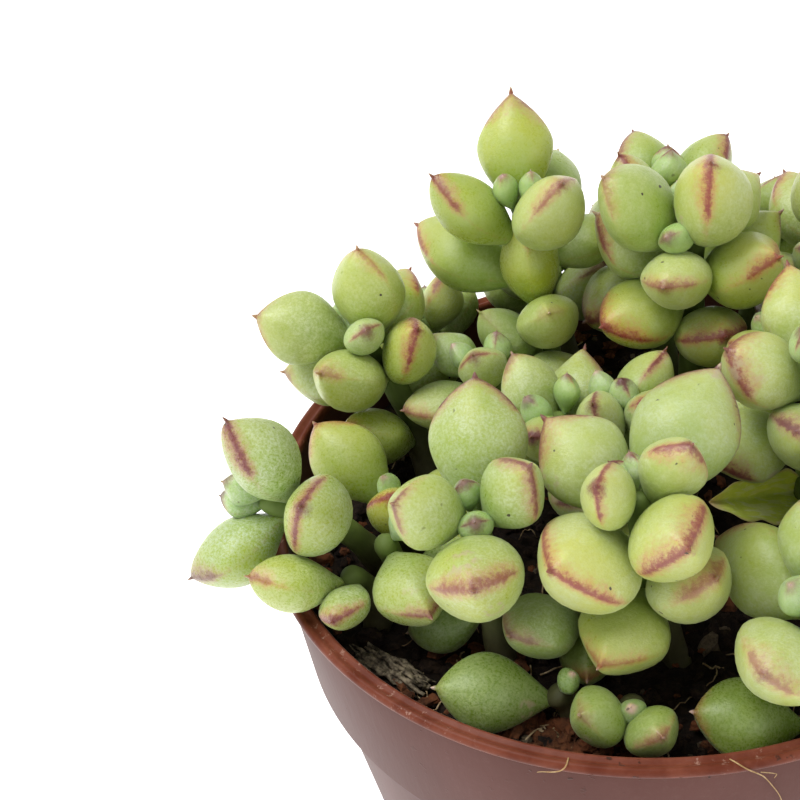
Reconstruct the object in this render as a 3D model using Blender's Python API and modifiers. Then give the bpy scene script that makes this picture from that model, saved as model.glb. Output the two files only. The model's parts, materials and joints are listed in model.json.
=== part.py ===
"""A potted cotyledon: plump opposite leaves on short branching stems in a brown nursery pot.

The model is laid out in millimetres and built in metres. Its origin is the middle of the pot's
underside, X runs to the right, Y away from the front and Z up.
"""
import bmesh
import bpy
import numpy as np
from math import cos, sin, radians, pi

MM = 0.001

# Pot
RIM_TOP = 93.0
RIM_RADIUS = 52.5
LIP_HEIGHT = 1.5
LIP_INNER = 50.0
LIP_BEAD = 0.6
COLLAR_RADIUS_HIGH = 51.4
COLLAR_RADIUS_LOW = 49.2
COLLAR_BOTTOM = 71.2
BODY_TOP_RADIUS = 47.7
BASE_RADIUS = 34.8
BASE_EDGE = 0.9
WALL = 1.2
FLOOR = 1.6
POT_SIDES = 40
DRAIN_HOLES = 8
DRAIN_SIDES = 8
DRAIN_RING = 24.0
DRAIN_RADIUS = 3.0

# Soil
SOIL_TOP = 85.0
SOIL_SHOULDER = 2.0
SOIL_LUMP = 0.45
SOIL_SIDES = 24
SOIL_RINGS = 5
FIT = 0.35

# Stems
STEM_BURIED = 5.0
STEM_FOOT_RADIUS = 2.3
STEM_TIP_RADIUS = 1.6
STEM_SIDES = 5
STEM_STEPS = 8
HOLE_STEPS = 5

# Leaves, as shares of their length or width where no unit is given
LEAF_STANDOFF = 1.2
LEAF_WIDEST_AT = 0.56
LEAF_NECK = 0.15
LEAF_NARROWEST = 0.06
ROUND_POINT = 0.1
LEAF_POINT = (0.15, 0.85)
LEAF_WIDTH = (0.67, 0.76)
YOUNG_WIDTH = (0.74, 0.84)
YOUNG_LENGTH = 9.0
LEAF_THICKNESS = (0.78, 0.88)
LEAF_LIFT = (0.03, 0.08)
FACE_SHARE = 0.44
FACE_PULL = 0.4
MUCRO = 0.05
ROOT_SINK = 0.6

# Flat sides and rings of a leaf: a young or low one, one grown by rule, and one set by hand
PLAIN_FACETS = (5, (0.42, 0.84))
RULED_FACETS = (6, (0.32, 0.60, 0.88))
PLACED_FACETS = (7, (0.30, 0.57, 0.85))
LOW_DROP = 13.0
FACET_MAKE_UP = 0.4
FACETS_KEPT = 0.78
CORNER_ANGLE = 50

# How the leaves are turned clear of one another, in millimetres and radians
LEAF_GAP = 0.6
RIM_MIDDLE = 50.8
RIM_HALF = 1.75
WALL_DEPTH = 18.0
SOIL_CLEARANCE = -0.2
NEAR_SHARE = 0.55
NEAR_MARGIN = 2.5
ROOT_ZONE = 4.0
LEAST_LEVER = 16.0
RELIST_EVERY = 10
TURN_LIMIT = 0.12
STIFFNESS = 0.03
SETTLED = 0.03
TOUCHING = 0.05
SMALLEST_KEPT = 0.72
HELD = 0.25
FREE = 1.0
SEED = 11

# Shoots set by hand: foot, tip above the rim, lean of the tip, and face, the way that the leaves'
# upper sides turn. Each pair of leaves: distance below the shoot's tip, leaf length, then rise
# and heading of either leaf in degrees (heading 0 is to the front, 90 to the right).
PLACED = {
    "front": dict(foot=(6, -27), tip=(0, -28.5, 21.5), lean=(70, 0), face=(37, 5), pairs=[
        (0.6, 5, (75, 130), (60, -110)),
        (1.5, 11, (74, 86), (47, -46)),
        (4.5, 15.5, (39, 25), (28, -132)),
        (4, 19, (44, 142), None),
        (10.5, 18.5, (30, -38), None),
        (17, 16, (34, 26), None),
        (18.5, 17, (-14, -12), None)]),
    "front_left": dict(foot=(-17, -31), tip=(-20, -27, 17), lean=(72, -5), face=(37, 0), pairs=[
        (0.5, 5.5, (76, -60), (38, 4)),
        (1.5, 13.5, (44, -56), (58, 68)),
        (3, 18, (46, -178), None),
        (6.5, 18, (30, 6), None),
        (17.5, 12.5, (-20, -108), None)]),
    "front_middle": dict(foot=(-7, -23), tip=(-7, -25, 2), lean=(70, -10), face=(45, 0), pairs=[
        (0.6, 5, (60, 0), None),
        (3, 15, (14, -30), (20, 120)),
        (6.5, 11, (0, -10), None)]),
    "soil_left": dict(foot=(-9, -36.5), tip=(-11, -37.5, -3), lean=(40, -80), face=(45, 0), pairs=[
        (0.5, 4.5, (60, 60), None),
        (1.5, 15, (10, -84), None)]),
    "rim_left": dict(foot=(-35, -10), tip=(-50, -16.5, 10), lean=(15, -85), face=(15, -85), pairs=[
        (1, 6.5, (18, -98), (0, -92)),
        (4, 16.5, (70, -80), (-22, -70)),
        (9.5, 15.5, (34, -10), None),
        (3, 11, (32, -122), None)]),
    "rim_low": dict(foot=(-37, -21), tip=(-38.5, -23, 3), lean=(40, -60), face=(50, -60), pairs=[
        (0.5, 14.5, (6, -50), None),
        (2, 11, (0, -15), None)]),
    "left_low": dict(foot=(-30, -18), tip=(-33.5, -19.5, 6), lean=(65, -20), face=(45, -40), pairs=[
        (1, 6, (60, 90), None),
        (2.5, 16, (-8, 12), None),
        (9, 13, (15, 80), None)]),
    "left_middle": dict(foot=(-31, -6), tip=(-35, -8.5, 4), lean=(70, -60), face=(50, -20), pairs=[
        (0.6, 5, (70, 0), None),
        (3, 15, (36, -126), (30, 60)),
        (5, 12, (30, -20), None)]),
    "left": dict(foot=(-30, 6), tip=(-41, 13, 16.5), lean=(55, -50), face=(55, -40), pairs=[
        (1.2, 8, (24, -150), (38, 5)),
        (5, 15, (40, 150), None),
        (3, 15, (20, -104), None),
        (10, 15.5, (50, 72), (32, -48)),
        (4.5, 15.5, (78, -175), None),
        (9.5, 14, (6, -82), None),
        (14.5, 13, (25, 140), None),
        (22, 15, (62, -66), None)]),
    "back_left": dict(foot=(-10, 18), tip=(-16.5, 22.5, 31), lean=(80, -40), face=(80, -40), slim=0.9,
                      pairs=[
        (0.6, 6, (80, 90), (70, -90)),
        (2, 17, (54, -170), None),
        (5, 17, (52, 36), None),
        (6, 16.5, (56, -72), (10, 160)),
        (10, 16, (20, 120), None),
        (13, 20, (22, -97), None),
        (20, 16, (42, 24), None),
        (18, 16, (70, -50), None),
        (26, 15, (34, -58), None)]),
    "back": dict(foot=(8, 12), tip=(7.5, 14.5, 33), lean=(62, 0), face=(70, 0), pairs=[
        (1.5, 7, (14, -176), (36, -5)),
        (5.5, 16.5, (44, -78), (47, 58)),
        (3, 14, (30, 158), None),
        (8, 14, (28, 0), None),
        (12, 17, (18, -100), (26, 34)),
        (15, 16.5, (10, -50), (30, 110)),
        (21, 15, (50, -5), None)]),
    "inner_front": dict(foot=(4, -5), tip=(-2, -1, 14), lean=(78, 150), face=(60, 0), pairs=[
        (0.6, 6, (80, 60), (60, -60)),
        (3, 11.5, (68, 40), None),
        (4.5, 12.5, (78, 178), (60, -88)),
        (9, 14, (30, 175), None),
        (12, 13, (20, 95), None)]),
    "right_tall": dict(foot=(24, -8), tip=(23, -10, 27), lean=(65, 10), face=(55, 10), pairs=[
        (0.8, 7, (70, -60), (60, 100)),
        (5, 17, (28, -154), (42, 20)),
        (7, 14.5, (42, -72), (35, 100)),
        (13, 15, (28, -30), (20, 170)),
        (14, 16, (10, -80), (10, 80))]),
    "front_right": dict(foot=(23, -35), tip=(21, -37, 11), lean=(60, 10), face=(37, 10), pairs=[
        (0.8, 7, (60, -60), (30, 40)),
        (7, 16, (24, -28), None),
        (3, 17, (55, 160), None),
        (3.5, 17, (26, -158), (30, 75)),
        (9, 17, (20, 60), None)]),
    "front_low": dict(foot=(19, -38.5), tip=(21, -41, -3), lean=(70, 30), face=(45, 0), pairs=[
        (0.5, 4.5, (30, 110), None),
        (2, 15, (8, -80), (10, 70))]),
    "front_bud": dict(foot=(-1, -38), tip=(-1, -39.5, -2.5), lean=(70, 0), face=(45, 0), pairs=[
        (0.5, 4.5, (55, 0), None),
        (2.5, 11, (40, -38), (28, 26))]),
}

# Shoots grown by rule: foot, tip, lean of the tip, turn of the first pair, number of pairs, size.
RULED = {
    "inner_left": ((-8, -4), (-11, -3, 14), (75, -120), 30, 4, 0.95),
    "inner_back_left": ((-20, 12), (-22, 13, 11), (70, -90), 10, 3, 0.9),
    "back_tall": ((5, 30), (4, 33, 28), (75, 170), 40, 5, 0.95),
    "right": ((34, -10), (43, -13, 22), (55, 75), 20, 5, 1.0),
    "right_back": ((36, 9), (43, 13, 26), (62, 110), 70, 5, 1.0),
    "back_right_tall": ((25, 23), (30, 29, 27), (65, 140), 20, 5, 1.0),
    "back_rim_left": ((-10, 36), (-14, 44, 8), (45, -165), 40, 4, 0.95),
    "back_rim_right": ((16, 38), (20, 45, 14), (50, 160), 10, 4, 1.0),
    "left_back_low": ((-27, 25), (-33, 31, 6), (55, -135), 60, 3, 0.9),
    "inner_right": ((20, 6), (20, 8, 20), (80, 60), 30, 4, 0.9),
    "rim_front_right": ((35, -25), (41, -29, 11), (50, 50), 30, 4, 0.95),
    "rim_right_back": ((38, 24), (43, 27, 10), (50, 125), 15, 4, 0.95),
}
RULE_LENGTHS = (6.5, 12, 15.5, 17, 17.5, 16.5)
RULE_DROPS = (0.7, 2.6, 5.4, 8.8, 12.8, 17.2)
RULE_SPREADS = (26, 44, 56, 66, 76, 84)


def unit(v):
    """Vectors of length one along the last axis."""
    return v / np.maximum(np.linalg.norm(v, axis=-1, keepdims=True), 1e-9)


def aim(rise, heading):
    """Direction that rises from level by one angle and heads round by the other."""
    rise, heading = radians(rise), radians(heading)
    return np.array([sin(heading) * cos(rise), -cos(heading) * cos(rise), sin(rise)])


def stem_path(foot, tip, lean):
    """Points of a stem that rises from its foot and reaches its tip along the lean."""
    foot = np.array([foot[0], foot[1], SOIL_TOP - STEM_BURIED])
    tip = np.array([tip[0], tip[1], tip[2] + RIM_TOP])
    bend = tip - aim(*lean) * 0.55 * np.linalg.norm(tip - foot)
    t = np.linspace(0, 1, STEM_STEPS + 1)[:, None]
    return (1 - t) ** 2 * foot + 2 * t * (1 - t) * bend + t * t * tip


def below_tip(path, drop):
    """Point on a stem at a distance below its tip, and the stem's direction there."""
    for upper, lower in zip(path[::-1], path[-2::-1]):
        span = np.linalg.norm(upper - lower)
        if drop <= span:
            break
        drop -= span
    direction = (upper - lower) / span
    return upper - direction * min(drop, span), direction


def half_width(x, point):
    """Half width of a leaf at x from its root (0) to its end (1), as a share of the widest."""
    rising = LEAF_NECK + (1 - LEAF_NECK) * np.sin(0.5 * pi * np.clip(x / LEAF_WIDEST_AT, 0, 1)) ** 1.2
    past = np.clip((x - LEAF_WIDEST_AT) / (1 - LEAF_WIDEST_AT), 0, 1)
    falling = np.clip(1 - past ** (2.2 - 0.55 * point), 0, 1) ** (0.55 + 0.38 * point)
    return np.maximum(np.where(x < LEAF_WIDEST_AT, rising, falling), LEAF_NARROWEST)


def new_leaf(rng, shoot, path, drop, length, direction, face=None, slim=1.0, hold=FREE):
    """A leaf on a stem with its own drawn proportions. A hold below one keeps it in its place.

    Its upper side turns up along the stem, or towards the shoot's tip and a little to the face.
    """
    root, stem = below_tip(path, drop)
    up = stem
    if face is not None:
        up = unit(unit(path[-1] - root - direction * length / 2) + FACE_PULL * face)
    width = length * slim * rng.uniform(*(YOUNG_WIDTH if length < YOUNG_LENGTH else LEAF_WIDTH))
    return dict(shoot=shoot, root=root, stem=stem, up=up,
                axis=direction, wish=direction, length=length, width=width,
                thick=width * rng.uniform(*LEAF_THICKNESS), point=rng.uniform(*LEAF_POINT),
                lift=rng.uniform(*LEAF_LIFT), hold=hold, drop=drop, shrunk=1.0)


def grow():
    """All stems and leaves before they are turned clear of one another."""
    rng = np.random.default_rng(SEED)
    stems, leaves = {}, []
    for name, shoot in PLACED.items():
        path = stem_path(shoot["foot"], shoot["tip"], shoot["lean"])
        stems[name] = path
        for drop, length, *aims in shoot["pairs"]:
            for towards in filter(None, aims):
                leaves.append(new_leaf(rng, name, path, drop, length, aim(*towards),
                                       aim(*shoot["face"]), shoot.get("slim", 1.0), HELD))
    for name, (foot, tip, lean, turn, pairs, size) in RULED.items():
        path = stem_path(foot, tip, lean)
        stems[name] = path
        for i in range(pairs):
            _, up = below_tip(path, RULE_DROPS[i] * size)
            side = unit(np.array([1.0, 0, 0]) - up * up[0])
            across = np.cross(up, side)
            for half in (0, 180):
                phi = radians(turn + 90 * i + half + rng.uniform(-8, 8))
                spread = radians(RULE_SPREADS[i] + rng.uniform(-6, 6))
                direction = cos(spread) * up + sin(spread) * (cos(phi) * side + sin(phi) * across)
                length = RULE_LENGTHS[i] * size * rng.uniform(0.93, 1.07)
                leaves.append(new_leaf(rng, name, path, RULE_DROPS[i] * size, length, direction))
    return stems, leaves


SECTIONS = np.array([0.12, 0.27, 0.42, 0.56, 0.70, 0.84, 0.94, 1.02])
SECTION_DEPTH = 0.07


class Crowd:
    """All leaves as arrays, so that they can be turned clear of one another together."""

    def __init__(self, leaves):
        for key in ("root", "stem", "up", "axis", "wish", "length", "width", "thick", "lift", "hold"):
            setattr(self, key, np.array([leaf[key] for leaf in leaves]))
        self.shoot = np.array([leaf["shoot"] for leaf in leaves])
        self.wide_share = np.array([half_width(SECTIONS, leaf["point"]) for leaf in leaves])
        self.deep_share = half_width(SECTIONS, ROUND_POINT)
        self.trouble = np.zeros(len(leaves))
        self.torque = np.zeros((len(leaves), 3))

    def frames(self):
        """Base point and (axis, side, face) directions of every leaf."""
        out = unit(self.axis - self.stem * np.sum(self.axis * self.stem, 1, keepdims=True))
        base = self.root + LEAF_STANDOFF * out
        side = unit(np.cross(self.axis, self.up))
        return base, np.stack([self.axis, side, np.cross(side, self.axis)], 1)

    def sections(self):
        """Middles, half sizes and directions of every leaf's cross sections."""
        base, frame = self.frames()
        length, thick = self.length[:, None], self.thick[:, None]
        rise = self.lift[:, None] * SECTIONS ** 2 * length - (0.5 - FACE_SHARE) * thick * self.deep_share
        middle = (base[:, None] + (SECTIONS * length)[..., None] * frame[:, None, 0]
                  + rise[..., None] * frame[:, None, 2])
        wide = self.wide_share * self.width[:, None] / 2
        deep = self.deep_share * thick / 2
        along = np.minimum(SECTION_DEPTH * length, wide)
        return middle, np.stack([along, wide, deep], -1), frame

    def push(self, who, arm, force, depth):
        """Note that leaves are pushed at an arm from their roots, and how deep they bite."""
        lever = np.maximum(np.sum(arm * arm, 1, keepdims=True), LEAST_LEVER)
        np.add.at(self.torque, who, np.cross(arm, force) / lever)
        np.maximum.at(self.trouble, who, depth)

    def turn(self, stiffness):
        """Turn every leaf as it was pushed, and a little back to where it wants to point."""
        spin = np.linalg.norm(self.torque, axis=1, keepdims=True)
        angle = np.minimum(spin, TURN_LIMIT)
        turned = self.axis * np.cos(angle) + np.cross(unit(self.torque), self.axis) * np.sin(angle)
        self.axis = unit(np.where(spin < 1e-6, self.axis, turned) + stiffness * (self.wish - self.axis))


def reach(frame, half, direction):
    """How far a cross section reaches in a direction."""
    local = np.einsum("...ij,...j->...i", frame, direction)
    return np.sqrt(np.sum((local * half) ** 2, -1))


def near_pairs(crowd, middle):
    """Leaves that stand close, whether they share a shoot, and which of their sections may overlap."""
    apart = np.linalg.norm(middle[:, None, 3] - middle[None, :, 3], axis=-1)
    spans = NEAR_SHARE * (crowd.length[:, None] + crowd.length) + NEAR_MARGIN
    first, second = np.where(np.triu(apart < spans, 1))
    same = crowd.shoot[first] == crowd.shoot[second]
    out_1 = SECTIONS * crowd.length[first][:, None]
    out_2 = SECTIONS * crowd.length[second][:, None]
    fused = (np.minimum(out_1[:, :, None], out_2[:, None, :]) < ROOT_ZONE) & same[:, None, None]
    return first, second, same, fused


def push_leaves(crowd, pairs, middle, half, frame):
    """Leaves push one another apart where they bite deepest."""
    first, second, same, fused = pairs
    away = middle[second][:, None, :] - middle[first][:, :, None]
    distance = np.linalg.norm(away, axis=-1) + 1e-9
    toward = away / distance[..., None]
    bite = (reach(frame[first][:, None, None], half[first][:, :, None], toward)
            + reach(frame[second][:, None, None], half[second][:, None, :], toward)
            - distance + np.where(same, 0.0, LEAF_GAP)[:, None, None])
    bite[fused] = -1
    flat = bite.reshape(len(first), -1)
    worst = flat.argmax(1)
    depth = flat[np.arange(len(first)), worst]
    hit = np.where(depth > 0)[0]
    section_1, section_2 = worst[hit] // len(SECTIONS), worst[hit] % len(SECTIONS)
    force = toward[hit, section_1, section_2] * depth[hit][:, None]
    give = (crowd.hold[first] / (crowd.hold[first] + crowd.hold[second]))[hit][:, None]
    counted = np.where(same[hit], 0.0, depth[hit])
    for who, section, push in ((first[hit], section_1, -force * give),
                               (second[hit], section_2, force * (1 - give))):
        crowd.push(who, middle[who, section] - crowd.root[who], push, counted)


def push_off(crowd, middle, half, frame, toward, distance, thickness):
    """Something solid pushes the leaves where they bite deepest into it."""
    bite = reach(frame[:, None], half, toward) + thickness + LEAF_GAP - distance
    who = np.where(bite.max(1) > 0)[0]
    section = bite.argmax(1)[who]
    depth = bite[who, section]
    crowd.push(who, middle[who, section] - crowd.root[who],
               toward[who, section] * depth[:, None], depth)


def settle(leaves, stems, rounds, stiffness):
    """Turn the leaves about their roots until they stand clear; returns what each still bites."""
    crowd = Crowd(leaves)
    stem_points = np.concatenate([np.concatenate([path, (path[1:] + path[:-1]) / 2])
                                  for path in stems.values()])
    stem_owner = np.concatenate([[name] * (2 * len(path) - 1) for name, path in stems.items()])
    foreign = crowd.shoot[:, None] != stem_owner
    for turn in range(rounds):
        middle, half, frame = crowd.sections()
        if turn % RELIST_EVERY == 0:
            pairs = near_pairs(crowd, middle)
        crowd.torque[:] = 0
        crowd.trouble[:] = 0
        push_leaves(crowd, pairs, middle, half, frame)

        from_axis = np.linalg.norm(middle[..., :2], axis=-1)
        wall = middle * RIM_MIDDLE / from_axis[..., None]
        wall[..., 2] = np.clip(middle[..., 2], RIM_TOP - WALL_DEPTH, RIM_TOP - RIM_HALF)
        to_stems = np.linalg.norm(middle[:, :, None] - stem_points, axis=-1)
        nearest = stem_points[np.where(foreign[:, None], to_stems, 1e9).argmin(-1)]
        for obstacle, thickness in ((wall, RIM_HALF), (nearest, STEM_FOOT_RADIUS)):
            away = middle - obstacle
            distance = np.linalg.norm(away, axis=-1) + 1e-9
            push_off(crowd, middle, half, frame, away / distance[..., None], distance, thickness)
        above_soil = np.where(from_axis < LIP_INNER, middle[..., 2] - SOIL_TOP - SOIL_CLEARANCE, 1e3)
        push_off(crowd, middle, half, frame, np.broadcast_to([0, 0, 1.0], middle.shape), above_soil, 0)

        if crowd.trouble.max() < SETTLED:
            break
        crowd.turn(stiffness)
    for leaf, axis in zip(leaves, crowd.axis):
        leaf["axis"] = axis
    return crowd.trouble


def clear(stems, leaves):
    """Settle the leaves, making smaller or leaving out those that can't come clear."""
    trouble = settle(leaves, stems, 90, STIFFNESS)
    for attempt in range(11):
        if trouble.max() <= TOUCHING:
            break
        for leaf, depth in zip(leaves, trouble):
            if depth > TOUCHING:
                shrink = 1 - min(0.12, 0.03 + 0.06 * depth * leaf["hold"] ** 0.5)
                for key in ("length", "width", "thick", "shrunk"):
                    leaf[key] *= shrink
        leaves[:] = [leaf for leaf in leaves if leaf["shrunk"] >= SMALLEST_KEPT]
        trouble = settle(leaves, stems, 40, STIFFNESS if attempt == 0 else 0.0)


def loft(rings, tail=None):
    """Vertices and triangles of a closed body through rings of points, with a flat start.

    The rings run from the start to the end, anticlockwise as seen from the end; the last one
    closes on the point tail, or is capped flat.
    """
    rings = np.asarray(rings)
    count, sides = rings.shape[:2]
    points = list(rings.reshape(-1, 3))
    faces = []
    for i in range(count - 1):
        for j in range(sides):
            a, b = i * sides + j, i * sides + (j + 1) % sides
            faces.append((a, b, b + sides))
            faces.append((a, b + sides, a + sides))
    end = rings[-1].mean(0) if tail is None else tail
    for start, middle, way in ((0, rings[0].mean(0), -1), ((count - 1) * sides, end, 1)):
        points.append(middle)
        for j in range(sides):
            edge = (start + j, start + (j + 1) % sides)
            faces.append((*edge[::way], len(points) - 1))
    return points, faces


def body_object(name, shape, collection):
    """A mesh object in metres from a shape's points in millimetres and its faces."""
    points, faces = shape
    mesh = bpy.data.meshes.new(name)
    mesh.from_pydata([tuple(float(c) * MM for c in p) for p in points], [], faces)
    mesh.validate()
    obj = bpy.data.objects.new(name, mesh)
    collection.objects.link(obj)
    return obj


def tube(path, start_radius, end_radius):
    """A closed tapering round stem along a path."""
    turn = np.arange(STEM_SIDES) * 2 * pi / STEM_SIDES
    rings = []
    for i, point in enumerate(path):
        along = unit(path[min(i + 1, len(path) - 1)] - path[max(i - 1, 0)])
        side = unit(np.array([1.0, 0, 0]) - along * along[0])
        across = np.cross(along, side)
        radius = start_radius + (end_radius - start_radius) * i / (len(path) - 1)
        rings.append(point + radius * (np.outer(np.cos(turn), side) + np.outer(np.sin(turn), across)))
    return loft(rings)


def leaf_body(leaf, base, frame):
    """Points and faces of one plump leaf: oval rings that end in a short point."""
    if leaf["length"] < YOUNG_LENGTH or leaf["drop"] > LOW_DROP:
        sides, stations = PLAIN_FACETS
    elif leaf["hold"] == FREE:
        sides, stations = RULED_FACETS
    else:
        sides, stations = PLACED_FACETS
    turn = np.arange(sides) * 2 * pi / sides
    outward = 1 / cos(pi / sides) ** FACET_MAKE_UP
    face_share = np.where(np.sin(turn) > 0, FACE_SHARE, 1 - FACE_SHARE)
    rings = []
    for x in (-ROOT_SINK / leaf["length"],) + stations:
        on_leaf = max(x, 0)
        wide = half_width(on_leaf, leaf["point"]) * outward * leaf["width"] / 2 * np.cos(turn)
        deep = half_width(on_leaf, ROUND_POINT) * outward * leaf["thick"] * face_share * np.sin(turn)
        rise = leaf["lift"] * on_leaf ** 2 * leaf["length"]
        local = np.stack([np.full(sides, x * leaf["length"]), wide, deep + rise], 1)
        rings.append(local @ frame + base)
    tip = np.array([1 + MUCRO * (0.6 + 0.8 * leaf["point"]), 0, leaf["lift"]]) * leaf["length"]
    return loft(rings, tip @ frame + base)


def keep_largest_body(obj):
    """Drop the loose scraps and sealed hollows that fusing leaves behind."""
    shape = bmesh.new()
    shape.from_mesh(obj.data)
    left = set(shape.verts)
    bodies = []
    while left:
        front = [left.pop()]
        body = set(front)
        while front:
            for edge in front.pop().link_edges:
                for vertex in edge.verts:
                    if vertex in left:
                        left.discard(vertex)
                        body.add(vertex)
                        front.append(vertex)
        bodies.append(body)
    bodies.sort(key=len)
    scraps = [vertex for body in bodies[:-1] for vertex in body]
    bmesh.ops.delete(shape, geom=scraps, context="VERTS")
    bmesh.ops.triangulate(shape, faces=shape.faces[:])
    shape.to_mesh(obj.data)
    shape.free()


def boolean(obj, name, operation, others):
    """Join a collection's bodies to an object, or cut them out of it."""
    modifier = obj.modifiers.new(name, "BOOLEAN")
    modifier.operation = operation
    modifier.operand_type = "COLLECTION"
    modifier.collection = others
    modifier.solver = "EXACT"


def apply_modifiers(obj):
    """Turn an object's modifiers into plain mesh, of one body."""
    graph = bpy.context.evaluated_depsgraph_get()
    mesh = bpy.data.meshes.new_from_object(obj.evaluated_get(graph))
    obj.modifiers.clear()
    obj.data = mesh
    keep_largest_body(obj)


def hide_cutter(obj):
    """Show a cutting shape as wire only."""
    obj.hide_render = True
    obj.display_type = "WIRE"


def finish(obj, name, colour, roughness):
    """Shade a part round up to its corners and give it a plain material of its own."""
    obj.data.shade_smooth()
    obj.data.set_sharp_from_angle(angle=radians(CORNER_ANGLE))
    material = bpy.data.materials.new(name)
    material.use_nodes = True
    shader = material.node_tree.nodes["Principled BSDF"]
    shader.inputs["Base Color"].default_value = (*colour, 1)
    shader.inputs["Roughness"].default_value = roughness
    shader.inputs["Metallic"].default_value = 0
    obj.data.materials.append(material)


def make_pot(collection, cutters):
    """A plastic pot moulded in one: tapered wall, wider collar, rolled lip, holes in its base."""
    lip_bottom = RIM_TOP - LIP_HEIGHT
    profile = [
        (0, FLOOR), (BASE_RADIUS - WALL, FLOOR),
        (BODY_TOP_RADIUS - WALL, COLLAR_BOTTOM), (COLLAR_RADIUS_LOW - WALL, COLLAR_BOTTOM + WALL),
        (COLLAR_RADIUS_HIGH - WALL, lip_bottom), (LIP_INNER, RIM_TOP - LIP_BEAD),
        (LIP_INNER + LIP_BEAD, RIM_TOP), (RIM_RADIUS - LIP_BEAD, RIM_TOP),
        (RIM_RADIUS, RIM_TOP - LIP_BEAD), (RIM_RADIUS - LIP_BEAD / 2, lip_bottom),
        (COLLAR_RADIUS_HIGH, lip_bottom - LIP_BEAD / 6), (COLLAR_RADIUS_LOW, COLLAR_BOTTOM),
        (BODY_TOP_RADIUS, COLLAR_BOTTOM - LIP_BEAD / 3),
        (BASE_RADIUS, BASE_EDGE), (BASE_RADIUS - BASE_EDGE, 0), (0, 0),
    ]
    mesh = bpy.data.meshes.new("pot")
    edges = [(i, i + 1) for i in range(len(profile) - 1)]
    mesh.from_pydata([(r * MM, 0, z * MM) for r, z in profile], edges, [])
    pot = bpy.data.objects.new("pot", mesh)
    collection.objects.link(pot)
    screw = pot.modifiers.new("turn", "SCREW")
    screw.steps = screw.render_steps = POT_SIDES
    screw.use_merge_vertices = True
    screw.merge_threshold = 0.00001
    for i in range(DRAIN_HOLES):
        angle = 2 * pi * i / DRAIN_HOLES
        bpy.ops.mesh.primitive_cylinder_add(
            vertices=DRAIN_SIDES, radius=DRAIN_RADIUS * MM, depth=4 * FLOOR * MM,
            location=(DRAIN_RING * cos(angle) * MM, DRAIN_RING * sin(angle) * MM, 0))
        cutter = bpy.context.object
        cutter.name = f"drain_{i + 1}"
        hide_cutter(cutter)
        for owner in list(cutter.users_collection):
            owner.objects.unlink(cutter)
        cutters.objects.link(cutter)
    boolean(pot, "drain", "DIFFERENCE", cutters)
    apply_modifiers(pot)
    finish(pot, "pot_plastic", (0.24, 0.10, 0.075), 0.4)


def soil_height(x, y):
    """Height of the lumpy soil surface, always under the soil's top."""
    lump = np.sin(0.55 * x + 1.3) * np.cos(0.48 * y + 0.4) + 0.6 * np.sin(0.9 * x - 0.7 * y)
    return SOIL_TOP - 0.6 + SOIL_LUMP * lump / 1.6


def make_soil(collection, holes, stems):
    """The potting mix: it fills the pot to just below the rim, with a hole for every stem."""
    turn = np.arange(SOIL_SIDES) * 2 * pi / SOIL_SIDES
    slack = WALL + FIT
    shoulder = SOIL_TOP - SOIL_SHOULDER
    slope = (COLLAR_RADIUS_HIGH - COLLAR_RADIUS_LOW) / (RIM_TOP - LIP_HEIGHT - COLLAR_BOTTOM)
    edge = COLLAR_RADIUS_LOW - slack + slope * (shoulder - COLLAR_BOTTOM - WALL)
    side = [(BASE_RADIUS - slack, FLOOR + FIT), (BODY_TOP_RADIUS - slack, COLLAR_BOTTOM - FIT),
            (COLLAR_RADIUS_LOW - slack - FIT, COLLAR_BOTTOM + slack), (edge, shoulder)]
    rings = [np.stack([r * np.cos(turn), r * np.sin(turn), np.full(SOIL_SIDES, z)], 1) for r, z in side]
    for r in np.linspace(edge - SOIL_SHOULDER, 2 * SOIL_SHOULDER, SOIL_RINGS):
        x, y = r * np.cos(turn), r * np.sin(turn)
        rings.append(np.stack([x, y, soil_height(x, y)], 1))
    soil = body_object("soil", loft(rings, np.array([0, 0, soil_height(0, 0)])), collection)
    hole_radius = STEM_FOOT_RADIUS + FIT
    for name, path in stems.items():
        bottom = path[0] - unit(path[1] - path[0]) * FIT
        sunk = np.concatenate([[bottom], path[:HOLE_STEPS + 1]])
        hide_cutter(body_object("hole_" + name, tube(sunk, hole_radius, hole_radius), holes))
    boolean(soil, "stem_holes", "DIFFERENCE", holes)
    apply_modifiers(soil)
    finish(soil, "soil_mix", (0.035, 0.022, 0.015), 0.95)


def make_shoot(name, path, leaves, collection):
    """One leafy shoot: its stem with every leaf fused on."""
    shoot = body_object("shoot_" + name, tube(path[::2], STEM_FOOT_RADIUS, STEM_TIP_RADIUS), collection)
    foliage = bpy.data.collections.new("foliage_" + name)
    bpy.context.scene.collection.children.link(foliage)
    base, frame = Crowd(leaves).frames()
    for i, leaf in enumerate(leaves):
        body_object(f"leaf_{name}_{i}", leaf_body(leaf, base[i], frame[i]), foliage)
    boolean(shoot, "leaves", "UNION", foliage)
    thin = shoot.modifiers.new("fewer_facets", "DECIMATE")
    thin.ratio = FACETS_KEPT
    apply_modifiers(shoot)
    for leaf in list(foliage.objects):
        bpy.data.objects.remove(leaf)
    bpy.data.collections.remove(foliage)
    finish(shoot, "leaf_" + name, (0.24, 0.42, 0.10), 0.45)


def main():
    """Build the pot, the soil and every shoot in one collection, with the cutters in others."""
    for obj in list(bpy.data.objects):
        bpy.data.objects.remove(obj)
    parts = bpy.data.collections.new("potted_cotyledon")
    cutters = bpy.data.collections.new("cutters")
    holes = bpy.data.collections.new("stem_holes")
    for collection in (parts, cutters, holes):
        bpy.context.scene.collection.children.link(collection)
    stems, leaves = grow()
    clear(stems, leaves)
    make_pot(parts, cutters)
    make_soil(parts, holes, stems)
    for name, path in stems.items():
        make_shoot(name, path, [leaf for leaf in leaves if leaf["shoot"] == name], parts)


main()
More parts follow.
